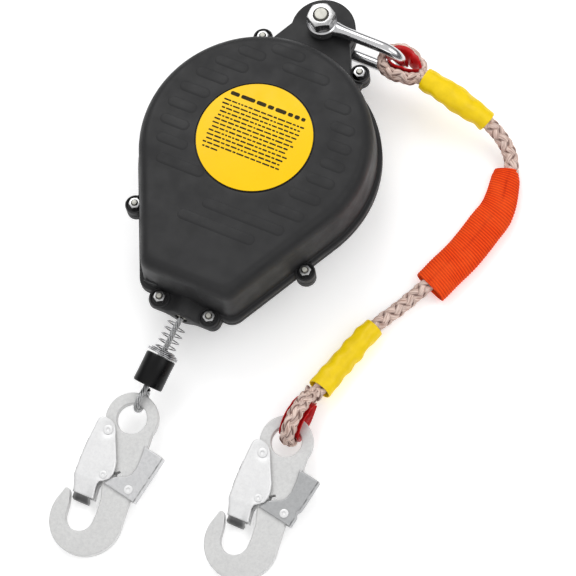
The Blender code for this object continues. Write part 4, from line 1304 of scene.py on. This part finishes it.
def folded_sheet(name, stations, place, fold_shade_points):
    """Sheet metal from (points of a row, columns left open); its fold is marked for painted shade along it.
    """
    points = [place @ Vector(p) for row, _ in stations for p in row]
    count = len(stations[0][0])
    faces = [face for number, face in enumerate(grid_faces([row for row, _ in stations]))
             if number % (count - 1) not in stations[number // (count - 1)][1]]
    obj = mesh_object(name, points, faces, 60)
    mark(obj, "fold", [float(i % count in fold_shade_points) for i in range(len(points))])
    modifier = obj.modifiers.new("sheet", "SOLIDIFY")
    modifier.thickness = SHEET_T * MM
    modifier.offset = -1.0
    modifier.use_even_offset = True
    applied(obj)
    return outward(obj)


# The gate's two edges as (place along the gate, place across it), and the rows that its sheet is made of.
LEFT_EDGE = [
    (-6.6, -18.6), (-7.2, -20.6), (-8.2, -22.0), (-9.6, -22.9), (-12, -23.3), (-30, -23.6), (-42, -23.2),
    (-54, -22.2), (-58, -20.9), (-62, -19.4), (-66, -18.4), (-70.4, -17.8)]
RIGHT_EDGE = [
    (-6.6, -17.6), (-7.2, -13.6), (-8.2, -11.2), (-9.6, -9.2), (-13, -7.0), (-20, -3.4), (-28, 0.8),
    (-34, 3.9), (-39, 5.4), (-44, 5.8), (-48, 4.4), (-50.6, 1.2), (-52.6, -1.8), (-56, -2.6), (-62, -1.8),
    (-67, -0.8), (-69.2, -1.6), (-70.4, -4.0)]
GATE_ROWS = [
    -6.6, -6.8, -7.2, -7.7, -8.2, -8.9, -9.6, -10.6, -12, -13.5, -15, -16.5, -18, -20, -22, -24, -26, -28,
    -31, -34, -36.5, -39, -41.5, -44, -46, -48, -49.4, -50.6, -51.6, -52.6, -54, -56, -58, -60, -62, -64,
    -65.5, -66.4]
SHEET_T = 1.35


def gate_sheet(prefix, place):
    """The gate: a channel folded round the hook's throat, dished at the pivot and bent down at its end."""
    rows = []
    for y in GATE_ROWS:
        left, right = between(LEFT_EDGE, y), between(RIGHT_EDGE, y)
        fold = min(2.4, max(0.2, (right - left) * 0.4))
        dip = 3.6 * max(0.0, (-54.5 - y) / 11.9) ** 1.1
        front = []
        for k in range(16):
            x = right + (left + fold - right) * k / 15
            z = GATE_HIGH - dip * min(1.0, max(0.35, (2 - x) / 9))
            for centre, depth, reach in ((GATE_PIVOT, 0.9, 5.2), (GATE_PIN, 0.5, 4.0)):
                z -= depth * exp(-(hypot(x - centre[0], y - centre[1]) / reach) ** 4)
            front.append((x, y, z))
        top = front[-1][2]
        corner = [(left + fold - fold * sin(a), y, top - fold + fold * cos(a))
                  for a in (radians(15 * k) for k in range(1, 7))]
        low_corner = [(left + fold - fold * cos(a), y, GATE_LOW + fold - fold * sin(a))
                      for a in (radians(15 * k) for k in range(0, 7))]
        rear = [(left + fold + (right - left - fold) * k / 8, y, GATE_LOW) for k in range(1, 9)]
        row = front + corner + low_corner + rear
        web_gap = {18, 19, 20, 21, 22, 23} if y > -25 else set()
        rows.append((row, web_gap))
    return folded_sheet(prefix + "_gate_sheet", rows, place, range(18, 21))


# Rings of the channel's inside: place along the gate, height, and how far each side stands in.
HOLLOW_ROWS = [(-64.5, 9.6, 0.8), (-66.6, 9.4, 0.6), (-69.4, 6.6, 0.0), (-70.4, 3.0, 0.6), (-70.0, 1.4, 1.2)]


def gate_hollow_shade(prefix, place):
    """The inside of the channel that shows below the bent end of the gate's front: a dark sheet whose colour
    is painted shade.
    """
    rows = []
    for y, z, squeeze in HOLLOW_ROWS:
        left, right = -17.8 + squeeze, -3.0 - squeeze * 1.5
        rows.append([(left + (right - left) * k / 10, y, z - 0.5 * sin(pi * k / 10)) for k in range(11)])
    points = [place @ Vector(p) for row in rows for p in row]
    obj = mesh_object(prefix + "_gate_hollow_shade", points, grid_faces(rows), 60)
    modifier = obj.modifiers.new("sheet", "SOLIDIFY")
    modifier.thickness = 1.0 * MM
    applied(obj)
    return outward(obj)


# How far the lever reaches in from its fold, by the share of its length.
LEVER_WIDTH = [
    (0, 17.0), (0.2, 14.6), (0.457, 12.7), (0.6, 13.6), (0.679, 15.8), (0.74, 19.0), (0.80, 23.4),
    (0.86, 25.6), (1.0, 27.4)]


def lever_sheet(prefix, place, notch):
    """The lever: two skins joined by a fold along its outer edge, with a hollow upper left side."""
    start, end = Vector((35, -18.5, 0)), Vector((28.5, -57, 0))
    down_fold = (end - start).normalized()
    inward = Vector((down_fold.y, -down_fold.x, 0))
    if inward.x > 0:
        inward = -inward
    length = (end - start).length
    rows = []
    for k in range(33):
        share = k / 32
        width = between(LEVER_WIDTH, share)
        base = start + down_fold * (length * share)
        nick = 1.5 * exp(-((share - 0.72) / 0.05) ** 2) if notch else 0.0
        fold = 1.8
        row = []
        for m in range(13):
            reach = width + (fold + nick - width) * m / 12
            spot = base + inward * reach
            row.append((spot.x, spot.y, LEVER_HIGH))
        for a in (radians(18 * n) for n in range(1, 6)):
            spot = base + inward * (nick + fold - fold * sin(a))
            row.append((spot.x, spot.y, LEVER_HIGH - fold + fold * cos(a)))
        for a in (radians(18 * n) for n in range(0, 6)):
            spot = base + inward * (nick + fold - fold * cos(a))
            row.append((spot.x, spot.y, LEVER_LOW + fold - fold * sin(a)))
        for m in range(1, 9):
            spot = base + inward * (nick + fold + (width - fold - nick) * m / 8)
            row.append((spot.x, spot.y, LEVER_LOW))
        row.reverse()
        rows.append((row, set()))
    return folded_sheet(prefix + "_lever_sheet", rows, place, range(15, 18))


def rivet(name, radius, head_r, low, high, at, place):
    """Domed rivet with a flared ring round a small dimple."""
    profile = [
        (0.02, low), (head_r * 0.6, low), (head_r * 0.95, low + 0.3), (head_r, low + 0.8),
        (radius, low + 0.9), (radius, high - 0.9), (head_r, high - 0.8), (head_r * 0.95, high - 0.3),
        (head_r * 0.62, high), (head_r * 0.42, high - 0.1), (head_r * 0.3, high - 0.55), (0.02, high - 0.7)]
    return lathe(name, profile, place @ moved(*at), 32)


def snap_hook(prefix, body, at, lever_material, notch):
    place = Matrix.Translation(at) @ turned(HOOK_TILT_DEG, "X")
    holes = [arc(HOOK_HOLE_R, 48), pin_slot()]
    stamped = plate(prefix + "_stamping", hook_outline(), *PLATE_Z, holes, 0.8, place)
    finish_piece(stamped, body, ZINC, prefix + "_body")
    gate_body, lever_body = body.replace("_hook", "_gate"), body.replace("_hook", "_lever")
    finish_piece(gate_sheet(prefix, place), gate_body, BRIGHT_ZINC, prefix + "_gate")
    finish_piece(gate_hollow_shade(prefix, place), gate_body, HOLLOW_SHADE)
    finish_piece(lever_sheet(prefix, place, notch), lever_body, lever_material, prefix + "_lever")
    for node, rider, size, at in (("_gate_rivet", body, (2.4, 3.6, 0.1, 16.0), GATE_PIVOT),
                                  ("_gate_pin", gate_body, (1.9, 2.9, 0.1, 16.3), GATE_PIN),
                                  ("_lever_rivet", body, (2.4, 3.4, 2.0, 14.8), LEVER_PIVOT)):
        domed = rivet(prefix + node + "_domed", *size, at, place)
        finish_piece(domed, rider, BRIGHT_ZINC, prefix + node)


# Painted shade: a dark copy of the zinc for the sheet inside the gate's channel.
HOLLOW_SHADE = zinc_plate("gate_inside_painted_shade", tone(52, 52, 53), tone(18, 18, 19), 0.5)
LEVER_ZINC = zinc_plate("lever_zinc", tone(214, 214, 215), tone(190, 191, 192), 0.42)
# A darker copy of the lever zinc, for the anchor hook's lever.
LEVER_GREY = zinc_plate("darker_lever_zinc", tone(182, 183, 184), tone(160, 161, 162), 0.42)
snap_hook("line_hook", "line_hook", LINE_HOOK_AT, LEVER_ZINC, False)
snap_hook("anchor_hook", "anchor_hook", ANCHOR_HOOK_AT, LEVER_GREY, True)

# ---- parts inside the covers keep their CAD shapes and get real finishes --------------------------------
INSIDE = {
    "hanger_frame": STEEL, "main_shaft": STEEL, "shaft_nut": STEEL, "power_spring": SPRING_STEEL,
    "exit_bush": BUSH_PLASTIC, "cable_inner_run": CABLE, "friction_ring_rear": FRICTION,
    "friction_ring_front": FRICTION, "clamp_ring": STEEL, "cable_drum": DRUM_ALLOY, "drum_bush": BRONZE,
    "pawl_pin_1": STEEL, "pawl_pin_2": STEEL, "pawl_spring_1": SPRING_STEEL, "pawl_spring_2": SPRING_STEEL,
    "brake_ring": BRONZE, "pawl_1": STEEL, "pawl_2": STEEL, "line_ferrule": DRUM_ALLOY}
for node, material in INSIDE.items():
    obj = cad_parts[node]
    obj.data.materials.clear()
    obj.data.materials.append(material)

low_z, high_z = heights("cable_winding")
turns = int((high_z - low_z) / (2 * CABLE_R))
pitch = (high_z - low_z) / turns
inner_r, outer_r = 27.3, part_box("cable_winding")[1].x / MM
profile = [(inner_r, low_z), (outer_r - CABLE_R, low_z)]
for turn_index in range(turns):
    for k in range(1, 8):
        a = radians(-90 + 22.5 * k)
        profile.append((outer_r - CABLE_R + CABLE_R * cos(a) * 0.98,
                        low_z + pitch * (turn_index + 0.5) + pitch / 2 * sin(a)))
profile += [(outer_r - CABLE_R, high_z), (inner_r, high_z)]
finish_piece(lathe("cable_wound_turns", profile, None, 72, 60), "drum", CABLE, "cable_winding")

# ---- floor and light ------------------------------------------------------------------------------------
floor_z = min(cad_box[0][2], 0.0) - 0.0004
floor_points = [(x, y, floor_z / MM) for x, y in rectangle(3000, 3000)]
floor = mesh_object("floor", floor_points, [(0, 1, 2, 3)])
floor_shader = Shader("floor_paper", tone(250, 250, 250), 0.9, Emission_Color=(1, 1, 1, 1),
                      Emission_Strength=0.30)
floor_shader.bump(floor_shader.noise(300, 3), 0.05, 0.2)
floor.data.materials.append(floor_shader.material)


def softbox(name, at, size, power):
    """A rectangular light at a place in metres, aimed at the origin."""
    data = bpy.data.lights.new(name, "AREA")
    data.shape = "RECTANGLE"
    data.size, data.size_y = size
    data.energy = power
    light = bpy.data.objects.new(name, data)
    bpy.context.scene.collection.objects.link(light)
    light.location = at
    light.rotation_euler = (-Vector(at)).to_track_quat("-Z", "Y").to_euler()


softbox("key_softbox", (-0.9, 1.0, 1.7), (1.5, 1.1), 15)
softbox("fill_softbox", (1.3, 0.3, 1.5), (1.2, 1.2), 7)
softbox("front_strip", (0.2, -1.5, 1.0), (1.6, 0.4), 3)

world = bpy.data.worlds.new("studio")
bpy.context.scene.world = world
world.use_nodes = True
sky = world.node_tree
background = sky.nodes["Background"]
place = sky.nodes.new("ShaderNodeTexCoord").outputs["Generated"]
gradient = sky.nodes.new("ShaderNodeSeparateXYZ")
sky.links.new(place, gradient.inputs["Vector"])
ramp = sky.nodes.new("ShaderNodeValToRGB")
dark, bright = ramp.color_ramp.elements
dark.position, dark.color = 0.02, (0.30, 0.30, 0.31, 1)
bright.position, bright.color = 0.62, (1, 1, 1, 1)
ramp.color_ramp.elements.new(0.30).color = (0.16, 0.16, 0.17, 1)
sky.links.new(gradient.outputs["Z"], ramp.inputs["Fac"])
sky.links.new(ramp.outputs["Color"], background.inputs["Color"])
background.inputs["Strength"].default_value = 0.8
bpy.context.scene.view_settings.view_transform = "Standard"
bpy.context.scene.view_settings.look = "None"
